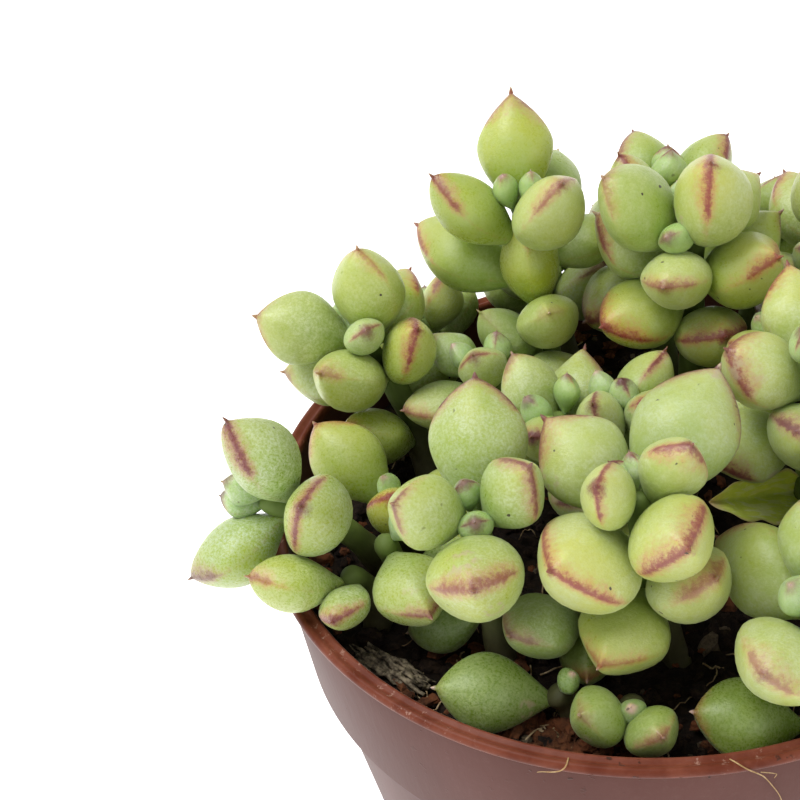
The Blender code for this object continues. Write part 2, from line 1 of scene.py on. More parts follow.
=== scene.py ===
"""Render scene of the potted cotyledon, with finer leaves, soil and pot than the plain solids.

The leaves are laid out by the same rules as the solids that they replace, in millimetres. The
origin is the middle of the pot's underside, X runs to the right, Y away from the front and Z up.
"""

import json
import bpy
import numpy as np
from math import cos, sin, radians, pi
from mathutils import Matrix, Vector

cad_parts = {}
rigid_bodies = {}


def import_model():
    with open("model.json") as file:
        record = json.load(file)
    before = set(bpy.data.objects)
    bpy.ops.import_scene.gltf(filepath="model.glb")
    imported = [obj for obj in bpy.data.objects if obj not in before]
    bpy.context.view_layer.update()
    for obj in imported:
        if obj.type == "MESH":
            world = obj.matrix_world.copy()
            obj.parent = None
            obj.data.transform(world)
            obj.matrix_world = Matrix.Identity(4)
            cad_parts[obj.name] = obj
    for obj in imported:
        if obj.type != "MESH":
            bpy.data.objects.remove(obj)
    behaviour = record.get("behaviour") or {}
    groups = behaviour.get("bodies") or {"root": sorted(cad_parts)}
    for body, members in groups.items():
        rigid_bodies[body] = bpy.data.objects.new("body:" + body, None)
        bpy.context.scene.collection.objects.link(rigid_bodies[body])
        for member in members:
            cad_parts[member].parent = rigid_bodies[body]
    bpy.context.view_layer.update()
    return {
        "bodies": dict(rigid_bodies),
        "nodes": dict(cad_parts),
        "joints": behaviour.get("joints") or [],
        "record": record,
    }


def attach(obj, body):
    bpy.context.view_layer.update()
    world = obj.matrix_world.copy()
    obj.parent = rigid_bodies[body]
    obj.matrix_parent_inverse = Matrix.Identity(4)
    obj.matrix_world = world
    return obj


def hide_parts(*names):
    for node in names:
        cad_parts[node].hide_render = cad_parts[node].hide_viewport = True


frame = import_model()

MM = 0.001

# Pot
RIM_TOP = 93.0
RIM_RADIUS = 52.5
LIP_HEIGHT = 1.5
LIP_INNER = 50.0
COLLAR_RADIUS_HIGH = 51.4
COLLAR_RADIUS_LOW = 49.2
COLLAR_BOTTOM = 71.2
BODY_TOP_RADIUS = 47.7
BASE_RADIUS = 34.8
WALL = 1.2
FLOOR = 1.6
DRAIN_HOLES = 8
DRAIN_RING = 24.0
DRAIN_RADIUS = 3.0

# Soil
SOIL_TOP = 85.0
FIT = 0.35

# Stems
STEM_BURIED = 5.0
STEM_FOOT_RADIUS = 2.3
STEM_TIP_RADIUS = 1.6
STEM_STEPS = 8
STEM_BEND = 0.55

# Leaves: three lengths in millimetres, then shares of a leaf's own length, width or thickness
LEAF_STANDOFF = 1.2
YOUNG_LENGTH = 9.0
ROOT_SINK = 0.6
LEAF_WIDEST_AT = 0.56
LEAF_NECK = 0.15
LEAF_NARROWEST = 0.06
ROUND_POINT = 0.1
LEAF_POINT = (0.15, 0.85)
LEAF_WIDTH = (0.67, 0.76)
YOUNG_WIDTH = (0.74, 0.84)
LEAF_THICKNESS = (0.78, 0.88)
LEAF_LIFT = (0.03, 0.08)
FACE_SHARE = 0.44
FACE_PULL = 0.4
MUCRO = 0.05

# How the leaves are turned clear of one another, in millimetres, radians, rounds and shares
LEAF_GAP = 0.6
RIM_MIDDLE = 50.8
RIM_HALF = 1.75
WALL_DEPTH = 18.0
SOIL_CLEARANCE = -0.2
NEAR_SHARE = 0.55
NEAR_MARGIN = 2.5
ROOT_ZONE = 4.0
LEAST_LEVER = 16.0
RELIST_EVERY = 10
TURN_LIMIT = 0.12
STIFFNESS = 0.03
SETTLED = 0.03
TOUCHING = 0.05
SMALLEST_KEPT = 0.72
FIRST_ROUNDS = 90
LATER_ROUNDS = 40
ATTEMPTS = 11
LEAST_SHRUNK = 0.03
MOST_SHRUNK = 0.12
SHRUNK_PER_BITE = 0.06
HELD = 0.25
FREE = 1.0
SEED = 11

# Shoots listed one by one: foot, tip above the rim, lean of the tip, and face, the way that the leaves'
# upper sides turn. Each pair of leaves, or single one: distance below the shoot's tip, leaf length,
# then the rise and heading of either leaf in degrees (heading 0 is to the front, 90 to the right).
PLACED = {
    "front": ((6, -27), (0, -28.5, 21.5), (70, 0), (37, 5), [
        (0.6, 5, (75, 130), (60, -110)), (1.5, 11, (74, 86), (47, -46)), (4.5, 15.5, (39, 25), (28, -132)),
        (4, 19, (44, 142)), (10.5, 18.5, (30, -38)), (17, 16, (34, 26)), (18.5, 17, (-14, -12))]),
    "front_left": ((-17, -31), (-20, -27, 17), (72, -5), (37, 0), [
        (0.5, 5.5, (76, -60), (38, 4)), (1.5, 13.5, (44, -56), (58, 68)), (3, 18, (46, -178)),
        (6.5, 18, (30, 6)), (17.5, 12.5, (-20, -108))]),
    "front_middle": ((-7, -23), (-7, -25, 2), (70, -10), (45, 0), [
        (0.6, 5, (60, 0)), (3, 15, (14, -30), (20, 120)), (6.5, 11, (0, -10))]),
    "soil_left": ((-9, -36.5), (-11, -37.5, -3), (40, -80), (45, 0), [
        (0.5, 4.5, (60, 60)), (1.5, 15, (10, -84))]),
    "rim_left": ((-35, -10), (-50, -16.5, 10), (15, -85), (15, -85), [
        (1, 6.5, (18, -98), (0, -92)), (4, 16.5, (70, -80), (-22, -70)), (9.5, 15.5, (34, -10)),
        (3, 11, (32, -122))]),
    "rim_low": ((-37, -21), (-38.5, -23, 3), (40, -60), (50, -60), [
        (0.5, 14.5, (6, -50)), (2, 11, (0, -15))]),
    "left_low": ((-30, -18), (-33.5, -19.5, 6), (65, -20), (45, -40), [
        (1, 6, (60, 90)), (2.5, 16, (-8, 12)), (9, 13, (15, 80))]),
    "left_middle": ((-31, -6), (-35, -8.5, 4), (70, -60), (50, -20), [
        (0.6, 5, (70, 0)), (3, 15, (36, -126), (30, 60)), (5, 12, (30, -20))]),
    "left": ((-30, 6), (-41, 13, 16.5), (55, -50), (55, -40), [
        (1.2, 8, (24, -150), (38, 5)), (5, 15, (40, 150)), (3, 15, (20, -104)),
        (10, 15.5, (50, 72), (32, -48)), (4.5, 15.5, (78, -175)), (9.5, 14, (6, -82)),
        (14.5, 13, (25, 140)), (22, 15, (62, -66))]),
    "back_left": ((-10, 18), (-16.5, 22.5, 31), (80, -40), (80, -40), [
        (0.6, 6, (80, 90), (70, -90)), (2, 17, (54, -170)), (5, 17, (52, 36)),
        (6, 16.5, (56, -72), (10, 160)), (10, 16, (20, 120)), (13, 20, (22, -97)), (20, 16, (42, 24)),
        (18, 16, (70, -50)), (26, 15, (34, -58))]),
    "back": ((8, 12), (7.5, 14.5, 33), (62, 0), (70, 0), [
        (1.5, 7, (14, -176), (36, -5)), (5.5, 16.5, (44, -78), (47, 58)), (3, 14, (30, 158)),
        (8, 14, (28, 0)), (12, 17, (18, -100), (26, 34)), (15, 16.5, (10, -50), (30, 110)),
        (21, 15, (50, -5))]),
    "inner_front": ((4, -5), (-2, -1, 14), (78, 150), (60, 0), [
        (0.6, 6, (80, 60), (60, -60)), (3, 11.5, (68, 40)), (4.5, 12.5, (78, 178), (60, -88)),
        (9, 14, (30, 175)), (12, 13, (20, 95))]),
    "right_tall": ((24, -8), (23, -10, 27), (65, 10), (55, 10), [
        (0.8, 7, (70, -60), (60, 100)), (5, 17, (28, -154), (42, 20)), (7, 14.5, (42, -72), (35, 100)),
        (13, 15, (28, -30), (20, 170)), (14, 16, (10, -80), (10, 80))]),
    "front_right": ((23, -35), (21, -37, 11), (60, 10), (37, 10), [
        (0.8, 7, (60, -60), (30, 40)), (7, 16, (24, -28)), (3, 17, (55, 160)),
        (3.5, 17, (26, -158), (30, 75)), (9, 17, (20, 60))]),
    "front_low": ((19, -38.5), (21, -41, -3), (70, 30), (45, 0), [
        (0.5, 4.5, (30, 110)), (2, 15, (8, -80), (10, 70))]),
    "front_bud": ((-1, -38), (-1, -39.5, -2.5), (70, 0), (45, 0), [
        (0.5, 4.5, (55, 0)), (2.5, 11, (40, -38), (28, 26))]),
}

# Shoots with slimmer leaves
SLIM = {"back_left": 0.9}

# Shoots grown by rule: foot, tip, lean of the tip, turn of the first pair, number of pairs, size
RULED = {
    "inner_left": ((-8, -4), (-11, -3, 14), (75, -120), 30, 4, 0.95),
    "inner_back_left": ((-20, 12), (-22, 13, 11), (70, -90), 10, 3, 0.9),
    "back_tall": ((5, 30), (4, 33, 28), (75, 170), 40, 5, 0.95),
    "right": ((34, -10), (43, -13, 22), (55, 75), 20, 5, 1.0),
    "right_back": ((36, 9), (43, 13, 26), (62, 110), 70, 5, 1.0),
    "back_right_tall": ((25, 23), (30, 29, 27), (65, 140), 20, 5, 1.0),
    "back_rim_left": ((-10, 36), (-14, 44, 8), (45, -165), 40, 4, 0.95),
    "back_rim_right": ((16, 38), (20, 45, 14), (50, 160), 10, 4, 1.0),
    "left_back_low": ((-27, 25), (-33, 31, 6), (55, -135), 60, 3, 0.9),
    "inner_right": ((20, 6), (20, 8, 20), (80, 60), 30, 4, 0.9),
    "rim_front_right": ((35, -25), (41, -29, 11), (50, 50), 30, 4, 0.95),
    "rim_right_back": ((38, 24), (43, 27, 10), (50, 125), 15, 4, 0.95),
}

# Their pairs from the tip down: leaf length, distance below the tip, and spread away from the stem
RULE_LENGTHS = (6.5, 12, 15.5, 17, 17.5, 16.5)
RULE_DROPS = (0.7, 2.6, 5.4, 8.8, 12.8, 17.2)
RULE_SPREADS = (26, 44, 56, 66, 76, 84)

# How far the leaves scatter from this rule: share of the length, then spread and turn in degrees
LENGTH_SCATTER = (0.93, 1.07)
SPREAD_SCATTER = (-6, 6)
TURN_SCATTER = (-8, 8)


def unit(v):
    """Vectors of length one along the last axis."""
    return v / np.maximum(np.linalg.norm(v, axis=-1, keepdims=True), 1e-9)


def aim(rise, heading):
    """Direction that rises from level by one angle and heads round by the other."""
    rise, heading = radians(rise), radians(heading)
    return np.array([sin(heading) * cos(rise), -cos(heading) * cos(rise), sin(rise)])


def stem_path(foot, tip, lean):
    """Points of a stem that rises from its foot and reaches its tip along the lean."""
    foot = np.array([foot[0], foot[1], SOIL_TOP - STEM_BURIED])
    tip = np.array([tip[0], tip[1], tip[2] + RIM_TOP])
    bend = tip - aim(*lean) * STEM_BEND * np.linalg.norm(tip - foot)
    t = np.linspace(0, 1, STEM_STEPS + 1)[:, None]
    return (1 - t) ** 2 * foot + 2 * t * (1 - t) * bend + t * t * tip


def below_tip(path, drop):
    """Point on a stem at a distance below its tip, and the stem's direction there."""
    for upper, lower in zip(path[::-1], path[-2::-1]):
        span = np.linalg.norm(upper - lower)
        if drop <= span:
            break
        drop -= span
    direction = (upper - lower) / span
    return upper - direction * min(drop, span), direction


def half_width(x, point):
    """Half width of a leaf at x from its root (0) to its end (1), as a share of the widest."""
    rising = LEAF_NECK + (1 - LEAF_NECK) * np.sin(0.5 * pi * np.clip(x / LEAF_WIDEST_AT, 0, 1)) ** 1.2
    past = np.clip((x - LEAF_WIDEST_AT) / (1 - LEAF_WIDEST_AT), 0, 1)
    falling = np.clip(1 - past ** (2.2 - 0.55 * point), 0, 1) ** (0.55 + 0.38 * point)
    return np.maximum(np.where(x < LEAF_WIDEST_AT, rising, falling), LEAF_NARROWEST)


def new_leaf(rng, shoot, path, drop, length, direction, face=None, slim=1.0, hold=FREE):
    """A leaf on a stem with its own drawn proportions. A hold below one keeps it in its place.

    Its upper side turns up along the stem, or towards the shoot's tip and a little to the face.
    """
    root, stem = below_tip(path, drop)
    up = stem
    if face is not None:
        up = unit(unit(path[-1] - root - direction * length / 2) + FACE_PULL * face)
    width = length * slim * rng.uniform(*(YOUNG_WIDTH if length < YOUNG_LENGTH else LEAF_WIDTH))
    return dict(shoot=shoot, root=root, stem=stem, up=up,
                axis=direction, wish=direction, length=length, width=width,
                thick=width * rng.uniform(*LEAF_THICKNESS), point=rng.uniform(*LEAF_POINT),
                lift=rng.uniform(*LEAF_LIFT), hold=hold, drop=drop, shrunk=1.0)


def grow():
    """All stems and leaves before they are turned clear of one another."""
    rng = np.random.default_rng(SEED)
    stems, leaves = {}, []
    for name, (foot, tip, lean, face, pairs) in PLACED.items():
        path = stem_path(foot, tip, lean)
        stems[name] = path
        for drop, length, *aims in pairs:
            for towards in aims:
                leaves.append(new_leaf(rng, name, path, drop, length, aim(*towards),
                                       aim(*face), SLIM.get(name, 1.0), HELD))
    for name, (foot, tip, lean, turn, pairs, size) in RULED.items():
        path = stem_path(foot, tip, lean)
        stems[name] = path
        for i in range(pairs):
            _, up = below_tip(path, RULE_DROPS[i] * size)
            side = unit(np.array([1.0, 0, 0]) - up * up[0])
            across = np.cross(up, side)
            for half in (0, 180):
                phi = radians(turn + 90 * i + half + rng.uniform(*TURN_SCATTER))
                spread = radians(RULE_SPREADS[i] + rng.uniform(*SPREAD_SCATTER))
                direction = cos(spread) * up + sin(spread) * (cos(phi) * side + sin(phi) * across)
                length = RULE_LENGTHS[i] * size * rng.uniform(*LENGTH_SCATTER)
                leaves.append(new_leaf(rng, name, path, RULE_DROPS[i] * size, length, direction))
    return stems, leaves


SECTIONS = np.array([0.12, 0.27, 0.42, 0.56, 0.70, 0.84, 0.94, 1.02])
SECTION_DEPTH = 0.07


class Crowd:
    """All leaves as arrays, so that they can be turned clear of one another together."""

    def __init__(self, leaves):
        for key in ("root", "stem", "up", "axis", "wish", "length", "width", "thick", "lift", "hold"):
            setattr(self, key, np.array([leaf[key] for leaf in leaves]))
        self.shoot = np.array([leaf["shoot"] for leaf in leaves])
        self.wide_share = np.array([half_width(SECTIONS, leaf["point"]) for leaf in leaves])
        self.deep_share = half_width(SECTIONS, ROUND_POINT)
        self.trouble = np.zeros(len(leaves))
        self.torque = np.zeros((len(leaves), 3))

    def frames(self):
        """Base point and (axis, side, face) directions of every leaf."""
        out = unit(self.axis - self.stem * np.sum(self.axis * self.stem, 1, keepdims=True))
        base = self.root + LEAF_STANDOFF * out
        side = unit(np.cross(self.axis, self.up))
        return base, np.stack([self.axis, side, np.cross(side, self.axis)], 1)

    def sections(self):
        """Middles, half sizes and directions of every leaf's cross sections."""
        base, frame = self.frames()
        length, thick = self.length[:, None], self.thick[:, None]
        rise = self.lift[:, None] * SECTIONS ** 2 * length - (0.5 - FACE_SHARE) * thick * self.deep_share
        middle = (base[:, None] + (SECTIONS * length)[..., None] * frame[:, None, 0]
                  + rise[..., None] * frame[:, None, 2])
        wide = self.wide_share * self.width[:, None] / 2
        deep = self.deep_share * thick / 2
        along = np.minimum(SECTION_DEPTH * length, wide)
        return middle, np.stack([along, wide, deep], -1), frame

    def push(self, who, arm, force, depth):
        """Note that leaves are pushed at an arm from their roots, and how deep they bite."""
        lever = np.maximum(np.sum(arm * arm, 1, keepdims=True), LEAST_LEVER)
        np.add.at(self.torque, who, np.cross(arm, force) / lever)
        np.maximum.at(self.trouble, who, depth)

    def turn(self, stiffness):
        """Turn every leaf as it was pushed, and a little back to where it wants to point."""
        spin = np.linalg.norm(self.torque, axis=1, keepdims=True)
        angle = np.minimum(spin, TURN_LIMIT)
        turned = self.axis * np.cos(angle) + np.cross(unit(self.torque), self.axis) * np.sin(angle)
        self.axis = unit(np.where(spin < 1e-6, self.axis, turned) + stiffness * (self.wish - self.axis))


def reach(frame, half, direction):
    """How far a cross section reaches in a direction."""
    local = np.einsum("...ij,...j->...i", frame, direction)
    return np.sqrt(np.sum((local * half) ** 2, -1))


def near_pairs(crowd, middle):
    """Leaves that stand close, whether they share a shoot, and which of their sections may overlap."""
    apart = np.linalg.norm(middle[:, None, 3] - middle[None, :, 3], axis=-1)
    spans = NEAR_SHARE * (crowd.length[:, None] + crowd.length) + NEAR_MARGIN
    first, second = np.where(np.triu(apart < spans, 1))
    same = crowd.shoot[first] == crowd.shoot[second]
    out_1 = SECTIONS * crowd.length[first][:, None]
    out_2 = SECTIONS * crowd.length[second][:, None]
    fused = (np.minimum(out_1[:, :, None], out_2[:, None, :]) < ROOT_ZONE) & same[:, None, None]
    return first, second, same, fused


def push_leaves(crowd, pairs, middle, half, frame):
    """Leaves push one another apart where they bite deepest."""
    first, second, same, fused = pairs
    away = middle[second][:, None, :] - middle[first][:, :, None]
    distance = np.linalg.norm(away, axis=-1) + 1e-9
    toward = away / distance[..., None]
    bite = (reach(frame[first][:, None, None], half[first][:, :, None], toward)
            + reach(frame[second][:, None, None], half[second][:, None, :], toward)
            - distance + np.where(same, 0.0, LEAF_GAP)[:, None, None])
    bite[fused] = -1
    flat = bite.reshape(len(first), -1)
    worst = flat.argmax(1)
    depth = flat[np.arange(len(first)), worst]
    hit = np.where(depth > 0)[0]
    section_1, section_2 = worst[hit] // len(SECTIONS), worst[hit] % len(SECTIONS)
    force = toward[hit, section_1, section_2] * depth[hit][:, None]
    give = (crowd.hold[first] / (crowd.hold[first] + crowd.hold[second]))[hit][:, None]
    counted = np.where(same[hit], 0.0, depth[hit])
    for who, section, push in ((first[hit], section_1, -force * give),
                               (second[hit], section_2, force * (1 - give))):
        crowd.push(who, middle[who, section] - crowd.root[who], push, counted)


def push_off(crowd, middle, half, frame, toward, distance, thickness):
    """Something solid pushes the leaves where they bite deepest into it."""
    bite = reach(frame[:, None], half, toward) + thickness + LEAF_GAP - distance
    who = np.where(bite.max(1) > 0)[0]
    section = bite.argmax(1)[who]
    depth = bite[who, section]
    crowd.push(who, middle[who, section] - crowd.root[who],
               toward[who, section] * depth[:, None], depth)


def settle(leaves, stems, rounds, stiffness):
    """Turn the leaves about their roots until they stand clear; returns what each still bites."""
    crowd = Crowd(leaves)
    stem_points = np.concatenate([np.concatenate([path, (path[1:] + path[:-1]) / 2])
                                  for path in stems.values()])
    stem_owner = np.concatenate([[name] * (2 * len(path) - 1) for name, path in stems.items()])
    foreign = crowd.shoot[:, None] != stem_owner
    for turn in range(rounds):
        middle, half, frame = crowd.sections()
        if turn % RELIST_EVERY == 0:
            pairs = near_pairs(crowd, middle)
        crowd.torque[:] = 0
        crowd.trouble[:] = 0
        push_leaves(crowd, pairs, middle, half, frame)

        from_axis = np.linalg.norm(middle[..., :2], axis=-1)
        wall = middle * RIM_MIDDLE / from_axis[..., None]
        wall[..., 2] = np.clip(middle[..., 2], RIM_TOP - WALL_DEPTH, RIM_TOP - RIM_HALF)
        to_stems = np.linalg.norm(middle[:, :, None] - stem_points, axis=-1)
        nearest = stem_points[np.where(foreign[:, None], to_stems, 1e9).argmin(-1)]
        for obstacle, thickness in ((wall, RIM_HALF), (nearest, STEM_FOOT_RADIUS)):
            away = middle - obstacle
            distance = np.linalg.norm(away, axis=-1) + 1e-9
            push_off(crowd, middle, half, frame, away / distance[..., None], distance, thickness)
        above_soil = np.where(from_axis < LIP_INNER, middle[..., 2] - SOIL_TOP - SOIL_CLEARANCE, 1e3)
        push_off(crowd, middle, half, frame, np.broadcast_to([0, 0, 1.0], middle.shape), above_soil, 0)

        if crowd.trouble.max() < SETTLED:
            break
        crowd.turn(stiffness)
    for leaf, axis in zip(leaves, crowd.axis):
        leaf["axis"] = axis
    return crowd.trouble


def clear(stems, leaves):
    """Settle the leaves, making smaller or leaving out those that can't come clear."""
    trouble = settle(leaves, stems, FIRST_ROUNDS, STIFFNESS)
    for attempt in range(ATTEMPTS):
        if trouble.max() <= TOUCHING:
            break
        for leaf, depth in zip(leaves, trouble):
            if depth > TOUCHING:
                bite = SHRUNK_PER_BITE * depth * leaf["hold"] ** 0.5
                shrink = 1 - min(MOST_SHRUNK, LEAST_SHRUNK + bite)
                for key in ("length", "width", "thick", "shrunk"):
                    leaf[key] *= shrink
        leaves[:] = [leaf for leaf in leaves if leaf["shrunk"] >= SMALLEST_KEPT]
        trouble = settle(leaves, stems, LATER_ROUNDS, STIFFNESS if attempt == 0 else 0.0)


# Camera in millimetres and degrees, then the floor and the lamps in metres, and how strong the light is
CAMERA_PLACE = (0.0, -182.85, 248.45)
CAMERA_HEADING = 10.09
CAMERA_TILT = 52.74
CAMERA_ROLL = -6.5
CAMERA_LENS = 76.25
FLOOR_SIZE = 12.0
WORLD_LIGHT = 0.36
SKY_BAND = (0.22, 0.55)
LAMPS = {
    "key": dict(place=(-0.45, -0.05, 1.1), size=0.7, power=11.0),
    "fill": dict(place=(0.7, -0.6, 0.8), size=0.8, power=2.0),
}

# Fine leaves and stems: rows and sides of their meshes, then shares of a leaf's own sizes
LEAF_ROWS = 34
LEAF_SIDES = 30
TIP_ROWS = 4
STEM_ROWS = 40
STEM_SIDES = 14
TIP_LENGTH = 1.05
SHARPER = 0.42
CREST = 0.8
CREST_BELOW = 0.4
RIDGE = 0.02
DENT = 0.012
SWAY = 0.012

# How the leaves of a shoot differ from others: yellower, more purple, more bloom, more painted
# shade (added to how low they stand), with a redder line, and rougher
SHOOT_CASTS = {
    "front": (0.25, -0.05, 0.05, 0, 0, 0.2),
    "front_left": (0, 0.15, 0.1, 0, 0, 0.7),
    "front_middle": (0.1, -0.1, 0, 0, 0, 0.4),
    "front_right": (0.2, 0, 0.1, -0.4, 0, 0.15),
    "front_low": (-0.2, 0, 0, 0.5, 0, 0.8),
    "rim_low": (0, -0.2, 0.3, 0, 0, 1.0),
    "rim_left": (-0.3, 0.5, 0.3, -0.5, 0.1, 1.0),
    "soil_left": (0, -0.1, 0, 0, 0, 0.8),
    "left_low": (0, 0, 0.1, 0, 0.1, 0.9),
    "left": (0.15, -0.2, -0.1, 0, -0.15, 0.6),
    "left_middle": (0.1, -0.2, -0.1, 0, -0.1, 0.7),
    "back_left": (0.2, -0.2, -0.3, -0.2, -0.3, 0.3),
    "back": (0.1, -0.1, -0.15, -0.2, -0.15, 0.3),
    "right_tall": (0.1, 0, 0, -0.2, 0, 0.3),
}
PLAIN_CAST = (0, 0, 0, 0, 0, 0.5)

# Withered leaf on the tall right shoot: the point of its stem, where it points and what its upper
# side faces, its length and half width, its thickness, and the rows and columns of its mesh
WITHERED_SHOOT = "right_tall"
WITHERED_AT = 3
WITHERED_TOWARDS = (-0.95, -0.27, 0.10)
WITHERED_FACING = (0.25, -0.75, 0.6)
WITHERED_SIZE = (14.5, 4.2)
WITHERED_THICKNESS = 0.22
WITHERED_GRID = (40, 25)

# Fine pot: its lip in section, as steps out and up from the lip's inner and then its outer edge
POT_FINE_SIDES = 192
INNER_BEAD = ((-0.05, -0.75), (0.08, -0.25), (0.3, 0), (0.6, -0.02), (0.85, -0.3))
OUTER_BEAD = ((-1.25, -0.36), (-0.95, -0.12), (-0.6, 0), (-0.22, -0.16), (0, -0.6), (-0.04, -1.05),
              (-0.3, -1.42), (-0.75, -1.55))

# Fine soil and what lies loose on it
SOIL_FINE_SIDES = 180
SOIL_FINE_RINGS = 70
SOIL_WAVES = 14
WAVE_SIZE = (0.12, 0.5)
CRUMBS = 1500
CRUMB_ROWS = 5
CRUMB_SIDES = 8
CRUMB_STRETCH = ((0.8, 1.5), (0.6, 1.0), (0.45, 0.8))
SMALL_CRUMB = (0.35, 1.0)
LARGE_CRUMB = (1.0, 1.9)
SMALL_SHARE = 0.8
CRUMB_KINDS = (0.62, 0.33, 0.05)
FIBRES = 150
FIBRE_LENGTH = (2.5, 8)
FIBRE_RADIUS = (0.06, 0.14)
FIBRE_ROWS = 9
FIBRE_SIDES = 5
HEAP_MIDDLE = (-5.0, -41.5)
HEAP_SPREAD = (7.0, 1.9)
HEAP_CRUMBS = 90
HEAP_CRUMB = (0.7, 1.7)
HEAP_KINDS = (0.15, 0.80, 0.05)
HEAP_FIBRES = 26
BARK_ENDS = np.array([(-38.4, -26.6), (-26.6, -33.4)])
BARK_STRANDS = 40
BARK_ROWS = 12
BARK_SIDES = 6

# Thin roots that hang over the rim: radius, then points from the soil outwards
ROOTS = [
    (0.09, [(-8.6, -46.5, 88), (-8.4, -50.0, 92.8), (-8.5, -51.7, 93.3), (-9.0, -52.3, 92.7),
            (-10.4, -51.9, 91.9), (-11.6, -51.1, 91.1), (-12.2, -50.4, 90.1)]),
    (0.09, [(9, -46, 88), (9.8, -49.6, 92.8), (11.2, -51.2, 93.3), (12.6, -51.4, 92.3),
            (14.2, -50.0, 90.2), (15.2, -49.3, 87.6), (16.3, -48.6, 85.2), (16.9, -48.1, 82.6)]),
    (0.06, [(13.8, -50.5, 91.2), (14.9, -50.4, 91.0), (15.8, -49.7, 90.0), (15.5, -49.4, 88.9)]),
    (0.09, [(30, 38, 88), (31.5, 39.9, 93.0), (33, 40.9, 93.3), (33.9, 41.0, 91.0), (33.4, 40.4, 88.0)]),
]
ROOT_ROWS = 28
ROOT_SIDES = 6
ROOT_SMOOTHINGS = 6


class Look:
    """The nodes of a material or world, with short ways to add nodes and join them."""

    def __init__(self, name, holder=None):
        self.holder = holder or bpy.data.materials.new(name)
        self.holder.use_nodes = True
        self.tree = self.holder.node_tree

    def feed(self, socket, value):
        """Join a node's output to a socket, or set the socket's own value."""
        if isinstance(value, bpy.types.NodeSocket):
            self.tree.links.new(value, socket)
        elif socket.type == "RGBA":
            socket.default_value = (*value, 1.0)
        else:
            socket.default_value = value

    def node(self, kind, inputs=(), **settings):
        """A node of a kind, with what goes into it and its settings."""
        made = self.tree.nodes.new("ShaderNode" + kind)
        for key, value in settings.items():
            setattr(made, key, value)
        for key, value in dict(inputs).items():
            self.feed(made.inputs[key], value)
        return made

    def number(self, operation, *values):
        """Arithmetic on one to three numbers."""
        return self.node("Math", enumerate(values), operation=operation).outputs[0]

    def times(self, product, *others):
        """The product of two or more numbers."""
        for other in others:
            product = self.number("MULTIPLY", product, other)
        return product

    def scaled(self, value, factor, added):
        """A number times a factor, with another number added."""
        return self.number("MULTIPLY_ADD", value, factor, added)

    def ramp(self, value, low, high, to_low=0.0, to_high=1.0):
        """A smooth step of a number from one value to another."""
        inputs = enumerate((value, low, high, to_low, to_high))
        return self.node("MapRange", inputs, interpolation_type="SMOOTHSTEP").outputs[0]

    def mix(self, share, first, second):
        """A colour between two."""
        return self.node("Mix", {0: share, 6: first, 7: second}, data_type="RGBA").outputs[2]

    def layers(self, colour, *layers):
        """A colour with others laid over it, each by its share."""
        for share, over in layers:
            colour = self.mix(share, colour, over)
        return colour

    def place(self):
        """Where a point is in the row frame, in metres."""
        return self.node("TexCoord").outputs["Object"]

    def height(self):
        """How high a point is above the pot's underside, in metres."""
        return self.node("SeparateXYZ", {0: self.place()}).outputs[2]

    def noise(self, scale, detail=3.0, roughness=0.55, squeeze=None):
        """Soft random numbers round a half; scale is per metre."""
        vector = self.place()
        if squeeze:
            vector = self.node("VectorMath", {0: vector, 1: squeeze}, operation="MULTIPLY").outputs[0]
        inputs = {"Vector": vector, "Scale": scale, "Detail": detail, "Roughness": roughness}
        return self.node("TexNoise", inputs).outputs["Fac"]

    def attribute(self, name):
        """The three numbers that a mesh keeps under a name."""
        vector = self.node("Attribute", attribute_name=name).outputs["Vector"]
        return self.node("SeparateXYZ", {0: vector}).outputs

    def bump(self, height, distance, strength=1.0, under=None):
        """Small relief in metres, laid on any relief under it."""
        inputs = {"Height": height, "Distance": distance, "Strength": strength}
        if under:
            inputs["Normal"] = under
        return self.node("Bump", inputs).outputs[0]

    def finish(self, **sockets):
        """Feed the shader by its sockets' names, with _ for a space, and give the material."""
        shader = self.tree.nodes["Principled BSDF"]
        for key, value in sockets.items():
            self.feed(shader.inputs[key.replace("_", " ")], value)
        return self.holder


